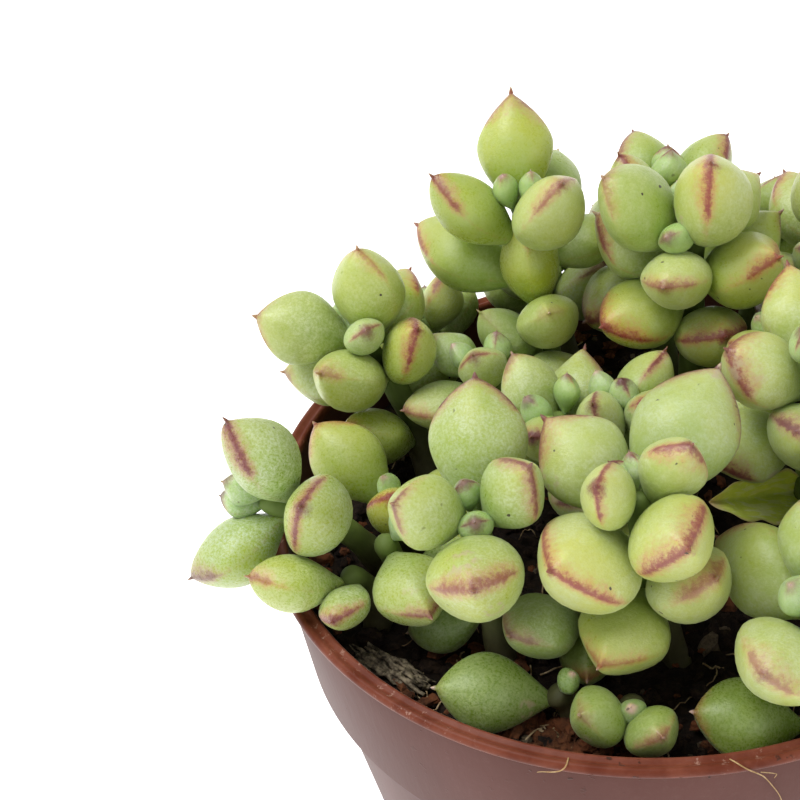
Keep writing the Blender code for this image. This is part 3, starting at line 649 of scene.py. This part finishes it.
def leaf_look():
    """Waxy leaf: green under a pale bloom, with a red line along the edge of its outer half.

    Leaves low over the soil get painted shade: a darker green with less bloom.
    """
    look = Look("leaf_skin")
    along, edge, from_tip = look.attribute("leaf_place")
    tone, line, hue = look.attribute("leaf_kind")
    # low is painted shade: how much darker and less dusty a leaf low over the soil is drawn
    bloom, young, low = look.attribute("leaf_coat_and_shade")
    rough, marked, milky = look.attribute("leaf_feel")

    sunny = look.times(look.ramp(along, 0.35, 0.95), line, look.scaled(hue, -0.45, 0.65))
    # The green; its last layer is painted shade, a dark green on leaves low over the soil
    green = look.layers(
        look.mix(tone, (0.184, 0.312, 0.010), (0.365, 0.432, 0.011)),
        (sunny, (0.66, 0.58, 0.045)),
        (look.ramp(along, 0.45, 0.0, 0.0, 0.55), (0.17, 0.32, 0.015)),
        (look.ramp(look.noise(170), 0.35, 0.7, 0.0, 0.3), (0.22, 0.38, 0.045)),
        (young, (0.30, 0.50, 0.14)),
        (low, (0.102, 0.170, 0.004)))

    grain = look.noise(2700, 3.0, 0.8)
    # Dust of the bloom, thinned on low leaves as painted shade
    dust = look.times(
        look.ramp(grain, 0.38, 0.62, look.scaled(rough, -0.55, 0.72), 1.0),
        look.ramp(look.noise(950, 4.0, 0.7), 0.30, 0.66, 0.60, 1.0),
        look.ramp(look.noise(130, 3.0, 0.6), 0.30, 0.62, 0.45, 1.0),
        bloom, look.scaled(low, -0.5, 1.0))
    powder = look.mix(hue, (0.57, 0.635, 0.27), (0.50, 0.605, 0.385))
    veil = look.times(look.ramp(along, 0.45, 1.0), milky, 0.36)

    # The line: how far a point is from the edge, and further still near the root, where it fades
    ragged = look.number("SUBTRACT", look.noise(1300, 4.0, 0.8), 0.5)
    above = look.times(look.number("MAXIMUM", edge, 0.0), 0.5)
    away = look.number("SUBTRACT", above, look.number("MINIMUM", edge, 0.0))
    patchy = look.number("SUBTRACT", look.noise(190), 0.5)
    start = look.scaled(line, -0.36, look.scaled(patchy, 0.5, 0.80))
    reach = look.ramp(look.number("SUBTRACT", along, start), 0.0, 0.26)
    away = look.scaled(look.number("SUBTRACT", 1.0, reach), 1.2, away)
    shown = look.number("MINIMUM", 1.0, look.times(line, 1.5))
    halo = look.times(look.ramp(look.scaled(ragged, 2.2, away), 1.55, 0.0),
                      look.ramp(grain, 0.3, 0.6, 0.45, 0.85), shown)
    core = look.times(look.ramp(look.scaled(ragged, 1.5, away), 0.68, 0.0), shown, 0.9)
    near = look.times(look.ramp(look.scaled(ragged, 1.6, from_tip), 1.6, 0.4), shown)
    prick = look.mix(shown, (0.60, 0.42, 0.33), look.mix(hue, (0.20, 0.03, 0.02), (0.10, 0.02, 0.03)))

    speck = look.times(look.ramp(look.noise(800, 1.0, 0.3), 0.775, 0.81), marked, 1.4)
    scar = look.times(look.ramp(look.noise(95, 1.0), 0.69, 0.72),
                      look.ramp(look.noise(800, 4.0), 0.45, 0.6), 0.7)
    # The skin: green, then the dust, mixed darker on low leaves as painted shade, then the line and marks
    skin = look.layers(
        green,
        (dust, look.mix(look.times(low, 0.6), powder, (0.315, 0.405, 0.085))),
        (veil, look.mix(hue, (0.62, 0.655, 0.22), (0.56, 0.63, 0.31))),
        (halo, look.mix(hue, (0.58, 0.20, 0.055), (0.38, 0.12, 0.12))),
        (core, look.mix(hue, (0.27, 0.020, 0.022), (0.105, 0.008, 0.026))),
        (near, look.mix(hue, (0.22, 0.020, 0.012), (0.08, 0.010, 0.022))),
        (look.ramp(from_tip, 0.8, 0.3), prick),
        (look.times(dust, 0.16), (0.64, 0.64, 0.52)),
        (speck, (0.05, 0.035, 0.02)),
        (scar, (0.50, 0.40, 0.26)))
    relief = look.bump(look.noise(230), 0.0009, 0.25)
    relief = look.bump(grain, 0.00015, 0.6, relief)
    return look.finish(
        Base_Color=skin, Roughness=look.scaled(dust, 0.20, 0.25), Normal=relief,
        Specular_IOR_Level=0.55, Subsurface_Weight=0.30, Subsurface_Radius=(1.0, 0.95, 0.2),
        Subsurface_Scale=0.0020, Sheen_Weight=0.17, Sheen_Roughness=0.35,
        Sheen_Tint=(0.90, 1.0, 0.65))


def stem_look():
    """Green stems that turn brown and corky towards their feet."""
    look = Look("stem_skin")
    ripe = look.ramp(look.height(), (SOIL_TOP + 16) * MM, (SOIL_TOP + 3) * MM)
    green = look.mix(look.noise(300), (0.12, 0.19, 0.030), (0.19, 0.26, 0.06))
    cork = look.mix(look.noise(700), (0.040, 0.034, 0.012), (0.085, 0.078, 0.028))
    return look.finish(Base_Color=look.mix(ripe, green, cork), Roughness=0.65,
                       Normal=look.bump(look.noise(700, 5.0), 0.0003, 0.6))


def withered_look():
    """Limp yellow-green skin with pale veins, dry at its tip and along its edges."""
    look = Look("withered_skin")
    along, across, _ = look.attribute("withered_place")
    vein = look.ramp(look.noise(900, 3.0, 0.6, (0.3, 1.0, 1.0)), 0.5, 0.62, 0.0, 0.6)
    dry = look.number("MAXIMUM", look.ramp(along, 0.80, 1.0), look.ramp(across, 0.86, 1.0, 0.0, 0.7))
    skin = look.layers(
        look.mix(look.noise(420, 4.0, 0.7), (0.50, 0.62, 0.050), (0.72, 0.78, 0.17)),
        (vein, (0.76, 0.80, 0.42)),
        (dry, (0.50, 0.36, 0.18)))
    return look.finish(
        Base_Color=skin, Roughness=0.42, Subsurface_Weight=0.35, Subsurface_Radius=(1.0, 0.9, 0.2),
        Subsurface_Scale=0.001, Normal=look.bump(look.noise(700, 4.0, 0.7), 0.0004, 0.6))


def pot_look():
    """Moulded brown plastic: a redder, glossier lip over a dull collar and wall, with dust and dirt."""
    look = Look("pot_plastic")
    height = look.height()
    lip = look.ramp(height, (RIM_TOP - 2.2) * MM, (RIM_TOP - 1.5) * MM)
    cloud = look.noise(60, 4.0, 0.6, (1.0, 1.0, 0.5))
    body = look.mix(look.ramp(cloud, 0.3, 0.7), (0.094, 0.032, 0.024), (0.112, 0.041, 0.032))
    edge = look.mix(look.ramp(look.noise(240, 4.0), 0.3, 0.7), (0.115, 0.025, 0.012), (0.185, 0.052, 0.029))
    film = look.times(look.ramp(look.noise(900, 6.0, 0.8), 0.5, 0.75),
                      look.ramp(cloud, 0.35, 0.75, 0.02, 0.12))
    worn = look.times(look.ramp(look.noise(700, 5.0, 0.8), 0.57, 0.66), lip,
                      look.ramp(look.noise(80, 2.0), 0.42, 0.58), 0.6)
    dirt = look.times(look.ramp(look.noise(650, 3.0, 0.6), 0.64, 0.71), look.ramp(look.noise(90), 0.42, 0.6),
                      look.ramp(height, (RIM_TOP - 7) * MM, (RIM_TOP - 1) * MM, 0.15, 0.9))
    colour = look.layers(body, (lip, edge), (film, (0.34, 0.23, 0.20)), (worn, (0.44, 0.27, 0.21)),
                         (dirt, (0.030, 0.016, 0.010)))
    relief = look.bump(look.noise(35, 2.0), 0.0012, 0.15)
    relief = look.bump(look.noise(900, 3.0, 0.6, (1.0, 1.0, 0.25)), 0.00008, 0.5, relief)
    relief = look.bump(dirt, 0.0002, 0.6, relief)
    return look.finish(
        Base_Color=colour, Roughness=look.scaled(film, 0.3, look.scaled(lip, -0.14, 0.50)),
        Normal=relief, Specular_IOR_Level=0.10, Sheen_Weight=0.07, Sheen_Roughness=0.4)


def soil_look(name, dark, light, red=0.0):
    """Potting mix: grains of several browns, some of them redder."""
    look = Look(name)
    colour = look.mix(look.ramp(look.noise(700, 6.0, 0.75), 0.35, 0.7), dark, light)
    if red:
        redder = look.ramp(look.noise(330, 2.0), 0.45, 0.65, 0.0, red)
        colour = look.mix(redder, colour, (0.20, 0.065, 0.025))
    relief = look.bump(look.noise(1100, 6.0, 0.8), 0.0006, 0.9)
    return look.finish(Base_Color=colour, Roughness=0.93, Normal=relief, Specular_IOR_Level=0.2)


def fibre_look(name, dark, light):
    """Dry roots, bark and coir fibre, in patches of a darker and a lighter colour."""
    look = Look(name)
    colour = look.mix(look.ramp(look.noise(800, 4.0, 0.7), 0.35, 0.7), dark, light)
    return look.finish(Base_Color=colour, Roughness=0.8, Specular_IOR_Level=0.25)


def piece(name, points, faces, looks, which=None, smooth=True):
    """A mesh piece that rides on the pot, from points in millimetres."""
    mesh = bpy.data.meshes.new(name)
    mesh.from_pydata((np.asarray(points) * MM).tolist(), [], faces)
    for look in looks:
        mesh.materials.append(look)
    if which is not None:
        mesh.polygons.foreach_set("material_index", which)
    if smooth:
        mesh.shade_smooth()
    made = bpy.data.objects.new(name, mesh)
    bpy.context.scene.collection.objects.link(made)
    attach(made, "root")
    return made


def keep_values(made, name, values):
    """Keep three numbers for each point of a piece, for its material."""
    kept = made.data.attributes.new(name, "FLOAT_VECTOR", "POINT")
    kept.data.foreach_set("vector", values.astype(np.float32).ravel())


def angles(count):
    """Equal turns round a circle."""
    return np.arange(count) * 2 * pi / count


def ring(radius, height, sides):
    """Points round the pot's axis, at one height or each at its own."""
    phi = angles(sides)
    return np.stack([radius * np.cos(phi), radius * np.sin(phi), np.broadcast_to(height, sides)], 1)


def tube_points(line, radius, sides):
    """Points round a line, then its two end points."""
    along = unit(np.gradient(line, axis=0))
    helper = np.array([1.0, 0, 0]) if abs(along[0, 0]) < 0.8 else np.array([0, 1.0, 0])
    side = unit(helper - along * (along @ helper)[:, None])
    across = np.cross(along, side)
    turn = angles(sides)
    circle = np.cos(turn)[:, None] * side[:, None] + np.sin(turn)[:, None] * across[:, None]
    points = line[:, None] + np.broadcast_to(radius, len(line))[:, None, None] * circle
    return np.concatenate([points.reshape(-1, 3), line[:1], line[-1:]])


def tube_faces(count, sides, start=0):
    """Quads round a tube's rows of points, and triangles to its two end points, which come last."""
    here = start + np.arange(count - 2).reshape(-1, sides)
    beside = np.roll(here, -1, axis=1)
    quads = np.stack([here[:-1], beside[:-1], beside[1:], here[1:]], -1).reshape(-1, 4)
    first, last = np.full((2, sides), start + count) - [[2], [1]]
    caps = np.concatenate([np.stack([beside[0], here[0], first], -1),
                           np.stack([here[-1], beside[-1], last], -1)])
    return quads.tolist() + caps.tolist()


class Pile:
    """Many tubes gathered into one piece."""

    def __init__(self):
        self.points, self.faces, self.which = [], [], []
        self.total = 0

    def add(self, points, sides, which=0):
        """Add the points of a tube, with the number of its material."""
        new = tube_faces(len(points), sides, self.total)
        self.points.append(points)
        self.faces += new
        self.which += [which] * len(new)
        self.total += len(points)

    def piece(self, name, looks, slot, smooth=True):
        """The piece that the tubes make together."""
        return piece(name, np.concatenate(self.points), self.faces, looks, self.which, smooth)


def leaf_surface(leaf, base, frame, rng):
    """Points of one fine leaf and its two end points, and for each point its place on the leaf.

    The place is the share of the length, the distance above the edge and that from the tip.
    """
    length, point = leaf["length"], leaf["point"] + SHARPER
    tip = MUCRO * TIP_LENGTH * (0.6 + 0.8 * leaf["point"])
    t = np.linspace(0, 1, LEAF_ROWS)
    x = np.concatenate([-ROOT_SINK / length + (1 + ROOT_SINK / length) * (1 - (1 - t) ** 1.7),
                        1 + tip * np.linspace(0, 1, TIP_ROWS + 1)[1:-1]])[:, None]
    shrink = np.clip((1 + tip - x) / tip, 0, 1) ** 0.7
    wide = half_width(np.clip(x, 0, 1), point) * shrink * leaf["width"] / 2
    deep = half_width(np.clip(x, 0, 1), ROUND_POINT + 0.7 * SHARPER) * shrink * leaf["thick"]
    # Backwards, so that the faces look outwards: axis, side and face are left-handed
    phi = -angles(LEAF_SIDES)
    c, s = np.cos(phi), np.sin(phi)
    waves = rng.uniform(0, 2 * pi, 3)
    outer = np.clip((x - 0.45) / 0.4, 0, 1)
    swell = 1 + DENT * (np.sin(2 * phi + 5 * x + waves[0]) + 0.7 * np.sin(3 * phi - 7 * x + waves[1]))
    y = wide * c * swell * (1 + RIDGE * outer * np.abs(c) ** 24)
    crest = CREST * outer * np.where(s > 0, 1.0, CREST_BELOW)
    lens = (1 - crest) * np.abs(s) + crest * 0.88 * s ** 2
    z = deep * np.where(s > 0, FACE_SHARE, FACE_SHARE - 1) * lens * swell
    bow = leaf["lift"] * np.clip(x, 0, 2) ** 2 * length
    sway = SWAY * length * np.sin(3 * x + waves[2])
    local = np.stack(np.broadcast_arrays(x * length, y + sway, z + bow), -1)
    ends = np.array([[x[0, 0] * length, sway[0, 0], bow[0, 0]],
                     [(1 + tip) * length, sway[-1, 0], leaf["lift"] * (1 + tip) ** 2 * length]])
    points = np.concatenate([local.reshape(-1, 3), ends]) @ frame + base
    from_tip = (1 + tip - x) * length
    spread = length / 15 * rng.uniform(0.55, 1.2)
    place = np.stack(np.broadcast_arrays(x, z / spread, from_tip), -1)
    place = np.concatenate([place.reshape(-1, 3), [[x[0, 0], 0, from_tip[0, 0]], [1 + tip, 0, 0]]])
    return points, place


def stem_surface(path):
    """Points of a stem with slight swellings along it."""
    fine = np.linspace(0, len(path) - 1, STEM_ROWS)
    line = np.stack([np.interp(fine, np.arange(len(path)), path[:, k]) for k in range(3)], 1)
    radius = STEM_FOOT_RADIUS + (STEM_TIP_RADIUS - STEM_FOOT_RADIUS) * fine / fine[-1]
    radius = radius * (0.94 + 0.06 * np.cos(fine * 2.6))
    radius[-3:] *= (0.95, 0.8, 0.5)
    return tube_points(line, radius, STEM_SIDES)


def make_shoot(name, path, leaves, rng, looks):
    """One fine leafy shoot, in the place of its plain solid."""
    pile = Pile()
    stem = stem_surface(path)
    pile.add(stem, STEM_SIDES, which=1)
    bare = np.zeros((len(stem), 3))
    kept = {"leaf_" + key: [bare] for key in ("place", "kind", "coat_and_shade", "feel")}
    # dark is how much more painted shade a shoot's leaves get on top of their height
    yellow, purple, dusty, dark, redder, rough = SHOOT_CASTS.get(name, PLAIN_CAST)
    for leaf, base, frame in zip(leaves, *Crowd(leaves).frames()):
        points, place = leaf_surface(leaf, base, frame, rng)
        pile.add(points, LEAF_SIDES)
        young = np.clip((10.5 - leaf["length"]) / 4, 0, 1)
        middle = base + frame[0] * leaf["length"] * 0.55
        # Painted shade: the lower a leaf stands over the soil, the darker its green and the less its bloom,
        # red line and pale veil
        low = np.clip((14 - middle[2] + SOIL_TOP) / 11 + dark, 0, 1) * rng.uniform(0.75, 1.0)
        tone = np.clip(rng.normal(0.45, 0.24) + yellow, 0, 1)
        line = np.clip(rng.uniform(0.4, 1.0) + redder - 0.6 * low - 0.3 * young, 0.08, 1)
        hue = np.clip(rng.uniform(0.1, 0.9) + purple + 0.4 * young, 0, 1)
        bloom = np.clip(rng.uniform(0.5, 1.0) + dusty, 0.1, 1)
        marked, milky = rng.uniform(0, 1, 2)
        # The third triple holds the bloom, the youth and the painted shade of each leaf
        values = (place, (tone, line, hue), (bloom, young * 0.8, low * 0.95),
                  (rough, marked, milky * (1 - low)))
        for rows, value in zip(kept.values(), values):
            rows.append(np.broadcast_to(value, points.shape))
    shoot = pile.piece("fine_" + name, looks, "leaf")
    for key, rows in kept.items():
        keep_values(shoot, key, np.concatenate(rows))
    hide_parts("shoot_" + name)


def make_withered_leaf(path):
    """A dried leaf that still hangs on its stem: a thin blade, folded and creased, with a torn edge."""
    length, half = WITHERED_SIZE
    axis = unit(np.array(WITHERED_TOWARDS))
    side = unit(np.cross(axis, WITHERED_FACING))
    up = np.cross(side, axis)
    rows, columns = WITHERED_GRID
    t, s = np.meshgrid(np.linspace(0, 1, rows), np.linspace(-1, 1, columns), indexing="ij")
    wide = half * np.sin(pi * t ** 0.8) ** 0.75 + 0.25 * (1 - t)
    torn = 1 + 0.10 * np.sin(23 * t + 2 * np.sign(s)) * np.abs(s) ** 4
    fold = wide * (1.15 * np.abs(s) ** 1.1 - 0.35)
    crease = 0.34 * np.sin(11 * t + 5 * s) + 0.26 * np.sin(27 * t - 9 * s) * np.abs(s)
    height = fold + crease * np.sin(pi * t) + 1.6 * t * t
    front = (path[WITHERED_AT] + (t * length)[..., None] * axis
             + (wide * torn * s * 0.8)[..., None] * side + height[..., None] * up)
    front = front.reshape(-1, 3)
    grid = np.arange(t.size).reshape(t.shape)
    quads = np.stack([grid[:-1, :-1], grid[:-1, 1:], grid[1:, 1:], grid[1:, :-1]], -1).reshape(-1, 4)
    edge = np.concatenate([grid[0], grid[1:, -1], grid[-1, -2::-1], grid[-2:0:-1, 0]])
    after = np.roll(edge, -1)
    band = np.stack([after, edge, edge + t.size, after + t.size], -1)
    faces = np.concatenate([quads, quads[:, ::-1] + t.size, band]).tolist()
    points = np.concatenate([front, front - WITHERED_THICKNESS * up])
    leaf = piece("withered_leaf", points, faces, [withered_look()])
    place = np.stack([t, np.abs(s), np.zeros_like(t)], -1).reshape(-1, 3)
    keep_values(leaf, "withered_place", np.concatenate([place, place]))


def wall_inside(z):
    """Inner radius of the pot at a height."""
    heights = (FLOOR, COLLAR_BOTTOM, COLLAR_BOTTOM + WALL, RIM_TOP - LIP_HEIGHT, RIM_TOP)
    radii = (BASE_RADIUS - WALL, BODY_TOP_RADIUS - WALL, COLLAR_RADIUS_LOW - WALL,
             COLLAR_RADIUS_HIGH - WALL, LIP_INNER)
    return np.interp(z, heights, radii)


def make_soil(rng):
    """Loose mix over the whole pot, then crumbs, fibres, a bark chip and roots on top."""
    waves = [(rng.uniform(*WAVE_SIZE), rng.uniform(0, pi), rng.uniform(0, 2 * pi))
             for _ in range(SOIL_WAVES)]

    def surface(x, y):
        """Height of the mix, from waves of several lengths and headings."""
        height = sum(size * np.sin((x * cos(heading) + y * sin(heading)) * 1.1 / size + phase)
                     for size, heading, phase in waves)
        return SOIL_TOP - 0.5 + 0.42 * height

    rings = [ring(wall_inside(z) - gap, z, SOIL_FINE_SIDES)
             for z, gap in ((FLOOR + FIT, FIT), (COLLAR_BOTTOM - 0.5, FIT),
                            (COLLAR_BOTTOM + WALL + 0.4, FIT + 0.3), (SOIL_TOP - 2.5, FIT))]
    edge = wall_inside(SOIL_TOP) - FIT
    for r in np.linspace(edge, 0.6, SOIL_FINE_RINGS):
        fine = rng.normal(0, 0.10, SOIL_FINE_SIDES) * min(1.0, r / 8)
        points = ring(r, 0.0, SOIL_FINE_SIDES)
        points[:, 2] = surface(points[:, 0], points[:, 1]) + (fine if r < edge else -0.8)
        rings.append(points)
    points = np.concatenate([*rings, [[0, 0, FLOOR + FIT], [0, 0, surface(0.0, 0.0)]]])
    mix = soil_look("soil_mix", (0.006, 0.004, 0.003), (0.030, 0.017, 0.010))
    ground = piece("loose_soil", points, tube_faces(len(points), SOIL_FINE_SIDES), [mix])
    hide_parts("soil")
    make_crumbs(rng, surface, edge)
    make_fibres(rng, surface, edge)
    make_bark(rng, surface)
    make_roots()


def crumb_points(rng, size):
    """Points of a rough lump, from a ball of rings pushed about at random."""
    stretch = size * np.array([rng.uniform(*span) for span in CRUMB_STRETCH])
    polar = np.linspace(pi, 0, CRUMB_ROWS + 2)[1:-1]
    ball = np.concatenate([ring(sin(a), cos(a), CRUMB_SIDES) for a in polar] + [[[0, 0, -1], [0, 0, 1]]])
    ball *= rng.uniform(0.72, 1.2, (len(ball), 1))
    turn = rng.uniform(0, 2 * pi)
    tilt = rng.normal(0, 0.35)
    spin = np.array([[cos(turn), -sin(turn), 0], [sin(turn), cos(turn), 0], [0, 0, 1]])
    lean = np.array([[1, 0, 0], [0, cos(tilt), -sin(tilt)], [0, sin(tilt), cos(tilt)]])
    return (ball * stretch) @ lean.T @ spin.T


def make_crumbs(rng, surface, edge):
    """Crumbs of coir and bark: dark ones, red-brown ones and a few pale ones, some heaped in front."""
    looks = [soil_look("crumb_dark", (0.008, 0.005, 0.004), (0.045, 0.026, 0.016)),
             soil_look("crumb_coir", (0.045, 0.016, 0.008), (0.190, 0.072, 0.030), 0.7),
             soil_look("crumb_pale", (0.06, 0.042, 0.025), (0.20, 0.15, 0.10))]
    pile = Pile()
    for i in range(CRUMBS + HEAP_CRUMBS):
        heaped = i >= CRUMBS
        if heaped:
            size = rng.uniform(*HEAP_CRUMB)
            x, y = rng.normal(HEAP_MIDDLE, HEAP_SPREAD)
            r, angle = np.hypot(x, y), np.arctan2(y, x)
        else:
            size = rng.uniform(*(SMALL_CRUMB if rng.uniform() < SMALL_SHARE else LARGE_CRUMB))
            r, angle = (edge - 1.2) * rng.uniform(0, 1) ** 0.38, rng.uniform(0, 2 * pi)
        r = min(r, edge - size)
        x, y = r * cos(angle), r * sin(angle)
        points = crumb_points(rng, size)
        lifted = rng.uniform(0.2, 1.6) if heaped else 0.25 * size
        points += (x, y, surface(x, y) + lifted)
        kind = rng.choice(3, p=HEAP_KINDS if heaped else CRUMB_KINDS)
        pile.add(points, CRUMB_SIDES, int(kind))
    pile.piece("soil_crumbs", looks, "soil", smooth=False)


def make_fibres(rng, surface, edge):
    """Short pale coir fibres that lie on the mix, some of them beside the heap of crumbs."""
    pile = Pile()
    for i in range(FIBRES + HEAP_FIBRES):
        r = (edge - 3) * rng.uniform(0, 1) ** 0.35
        angle, turn = rng.uniform(0, 2 * pi, 2)
        if i >= FIBRES:
            x, y = rng.normal((HEAP_MIDDLE[0] - HEAP_SPREAD[0], HEAP_MIDDLE[1] + 0.5), 1.6)
            r, angle = np.hypot(x, y), np.arctan2(y, x)
        length = rng.uniform(*FIBRE_LENGTH)
        t = np.linspace(-0.5, 0.5, FIBRE_ROWS)
        bend = rng.uniform(-1.2, 1.2)
        x = r * cos(angle) + length * (t * cos(turn) - bend * t * t * sin(turn))
        y = r * sin(angle) + length * (t * sin(turn) + bend * t * t * cos(turn))
        over = max(np.hypot(x, y).max() / (edge - 0.3), 1)
        x, y = x / over, y / over
        z = surface(x, y) + 0.3 + rng.uniform(0.0, 1.0) * (1 - 4 * t * t) + 0.2 * np.sin(9 * t + turn)
        radius = rng.uniform(*FIBRE_RADIUS)
        pile.add(tube_points(np.stack([x, y, z], 1), radius, FIBRE_SIDES), FIBRE_SIDES)
    pile.piece("soil_fibres", [fibre_look("coir_fibre", (0.20, 0.125, 0.06), (0.52, 0.40, 0.24))], "soil")


def make_bark(rng, surface):
    """A grey fibrous chip of bark between the left rim and the leaves."""
    start, end = BARK_ENDS
    across = unit(np.array([end[1] - start[1], start[0] - end[0]]))
    pile = Pile()
    for i in range(BARK_STRANDS):
        shift = rng.uniform(-1.5, 1.5)
        t = np.linspace(rng.uniform(0, 0.25), rng.uniform(0.7, 1.0), BARK_ROWS)
        line = start + (end - start) * t[:, None]
        line = line + across * (shift + 0.4 * np.sin(5 * t + rng.uniform(0, 6)))[:, None]
        arch = 1.5 * (1 - (shift / 1.9) ** 2) * rng.uniform(0.1, 1.0)
        z = surface(line[:, 0], line[:, 1]) + 0.6 + arch + 0.25 * np.sin(11 * t + i)
        radius = rng.uniform(0.10, 0.30) * (0.5 + np.sin(pi * np.linspace(0.05, 0.95, BARK_ROWS)))
        points = tube_points(np.column_stack([line, z]), radius, BARK_SIDES)
        pile.add(points + rng.normal(0, 0.05, points.shape), BARK_SIDES)
    pile.piece("bark_chip", [fibre_look("bark_fibre", (0.030, 0.022, 0.013), (0.32, 0.26, 0.175))], "soil")


def make_roots():
    """Thin pale roots that hang over the rim, smoothed from their points."""
    pile = Pile()
    for radius, line in ROOTS:
        line = np.array(line)
        fine = np.linspace(0, len(line) - 1, ROOT_ROWS)
        smooth = np.stack([np.interp(fine, np.arange(len(line)), line[:, k]) for k in range(3)], 1)
        for _ in range(ROOT_SMOOTHINGS):
            smooth[1:-1] = (smooth[:-2] + 2 * smooth[1:-1] + smooth[2:]) / 4
        radii = radius * np.linspace(1.2, 0.6, ROOT_ROWS)
        pile.add(tube_points(smooth, radii, ROOT_SIDES), ROOT_SIDES)
    pile.piece("loose_roots", [fibre_look("root_fibre", (0.36, 0.22, 0.09), (0.62, 0.45, 0.24))], "soil")


def make_pot():
    """The pot again, turned finely, with a double bead along its lip and holes in its floor."""
    low, high = COLLAR_RADIUS_LOW, COLLAR_RADIUS_HIGH
    profile = [
        (BASE_RADIUS - WALL, FLOOR), (BODY_TOP_RADIUS - WALL, COLLAR_BOTTOM - 0.2),
        (low - WALL, COLLAR_BOTTOM + WALL), (high - WALL, RIM_TOP - LIP_HEIGHT - 0.2),
        *[(LIP_INNER + out, RIM_TOP + up) for out, up in INNER_BEAD],
        *[(RIM_RADIUS + out, RIM_TOP + up) for out, up in OUTER_BEAD],
        (high - 0.02, RIM_TOP - 1.75), (high - 0.06, RIM_TOP - 2.3), (low + 0.12, COLLAR_BOTTOM + 0.5),
        (low - 0.05, COLLAR_BOTTOM + 0.1), (low - 0.3, COLLAR_BOTTOM),
        (BODY_TOP_RADIUS + 0.1, COLLAR_BOTTOM - 0.15), (BODY_TOP_RADIUS - 0.08, COLLAR_BOTTOM - 0.5),
        (BASE_RADIUS + 0.25, 1.2), (BASE_RADIUS, 0.35), (BASE_RADIUS - 0.7, 0.0),
    ]
    points = np.concatenate([ring(r, z, POT_FINE_SIDES) for r, z in profile] + [[[0, 0, FLOOR], [0, 0, 0]]])
    pot = piece("fine_pot", points, tube_faces(len(points), POT_FINE_SIDES), [pot_look()])
    pot.data.flip_normals()
    pot.data.set_sharp_from_angle(angle=radians(60))
    holes = bpy.data.collections.new("drain_holes")
    bpy.context.scene.collection.children.link(holes)
    for angle in angles(DRAIN_HOLES):
        bpy.ops.mesh.primitive_cylinder_add(
            vertices=40, radius=DRAIN_RADIUS * MM, depth=4 * FLOOR * MM,
            location=(DRAIN_RING * cos(angle) * MM, DRAIN_RING * sin(angle) * MM, 0))
        holes.objects.link(bpy.context.object)
    drill = pot.modifiers.new("drain", "BOOLEAN")
    drill.operand_type = "COLLECTION"
    drill.collection = holes
    drill.solver = "EXACT"
    drilled = bpy.data.meshes.new_from_object(pot.evaluated_get(bpy.context.evaluated_depsgraph_get()))
    pot.modifiers.clear()
    pot.data = drilled
    for cutter in list(holes.objects):
        bpy.data.objects.remove(cutter)
    bpy.data.collections.remove(holes)
    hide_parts("pot")


def make_stage():
    """A pale floor, soft light from above and the camera at the photo's angle."""
    scene = bpy.context.scene
    bpy.ops.mesh.primitive_plane_add(size=FLOOR_SIZE)
    floor = bpy.context.object
    floor.name = "floor"
    paper = Look("floor_paper")
    speckle = paper.ramp(paper.noise(3.0), 0.3, 0.7, 0.97, 1.0)
    white = paper.node("CombineXYZ", {0: speckle, 1: speckle, 2: speckle}).outputs[0]
    floor.data.materials.append(paper.finish(
        Base_Color=white, Roughness=1.0, Specular_IOR_Level=0.0,
        Emission_Color=(1.0, 1.0, 1.0), Emission_Strength=0.6))

    scene.world = bpy.data.worlds.new("studio")
    sky = Look("studio", scene.world)
    rise = sky.node("SeparateXYZ", {0: sky.node("TexCoord").outputs["Generated"]}).outputs[2]
    background = sky.tree.nodes["Background"].inputs
    sky.feed(background["Color"], (1.0, 1.0, 1.0))
    sky.feed(background["Strength"], sky.ramp(rise, *SKY_BAND, 1.0, WORLD_LIGHT))
    for name, lamp in LAMPS.items():
        light = bpy.data.lights.new(name, "AREA")
        light.size = lamp["size"]
        light.energy = lamp["power"]
        made = bpy.data.objects.new(name, light)
        made.location = lamp["place"]
        towards = Vector((0, 0, RIM_TOP * MM)) - Vector(lamp["place"])
        made.rotation_euler = towards.to_track_quat("-Z", "Y").to_euler()
        scene.collection.objects.link(made)

    camera = bpy.data.objects.new("camera", bpy.data.cameras.new("camera"))
    camera.data.lens = CAMERA_LENS
    camera.data.clip_start = 0.01
    camera.matrix_world = (
        Matrix.Translation(Vector(CAMERA_PLACE) * MM) @ Matrix.Rotation(radians(CAMERA_HEADING), 4, "Z")
        @ Matrix.Rotation(radians(CAMERA_TILT), 4, "X") @ Matrix.Rotation(radians(CAMERA_ROLL), 4, "Z"))
    scene.collection.objects.link(camera)
    scene.camera = camera
    scene.view_settings.view_transform = "Standard"


def main():
    """Lay the leaves out as the solids do, then make every piece and the stage."""
    stems, leaves = grow()
    clear(stems, leaves)
    rng = np.random.default_rng(SEED + 1)
    looks = [leaf_look(), stem_look()]
    for name, path in stems.items():
        make_shoot(name, path, [leaf for leaf in leaves if leaf["shoot"] == name], rng, looks)
    make_withered_leaf(stems[WITHERED_SHOOT])
    make_soil(rng)
    make_pot()
    make_stage()


main()
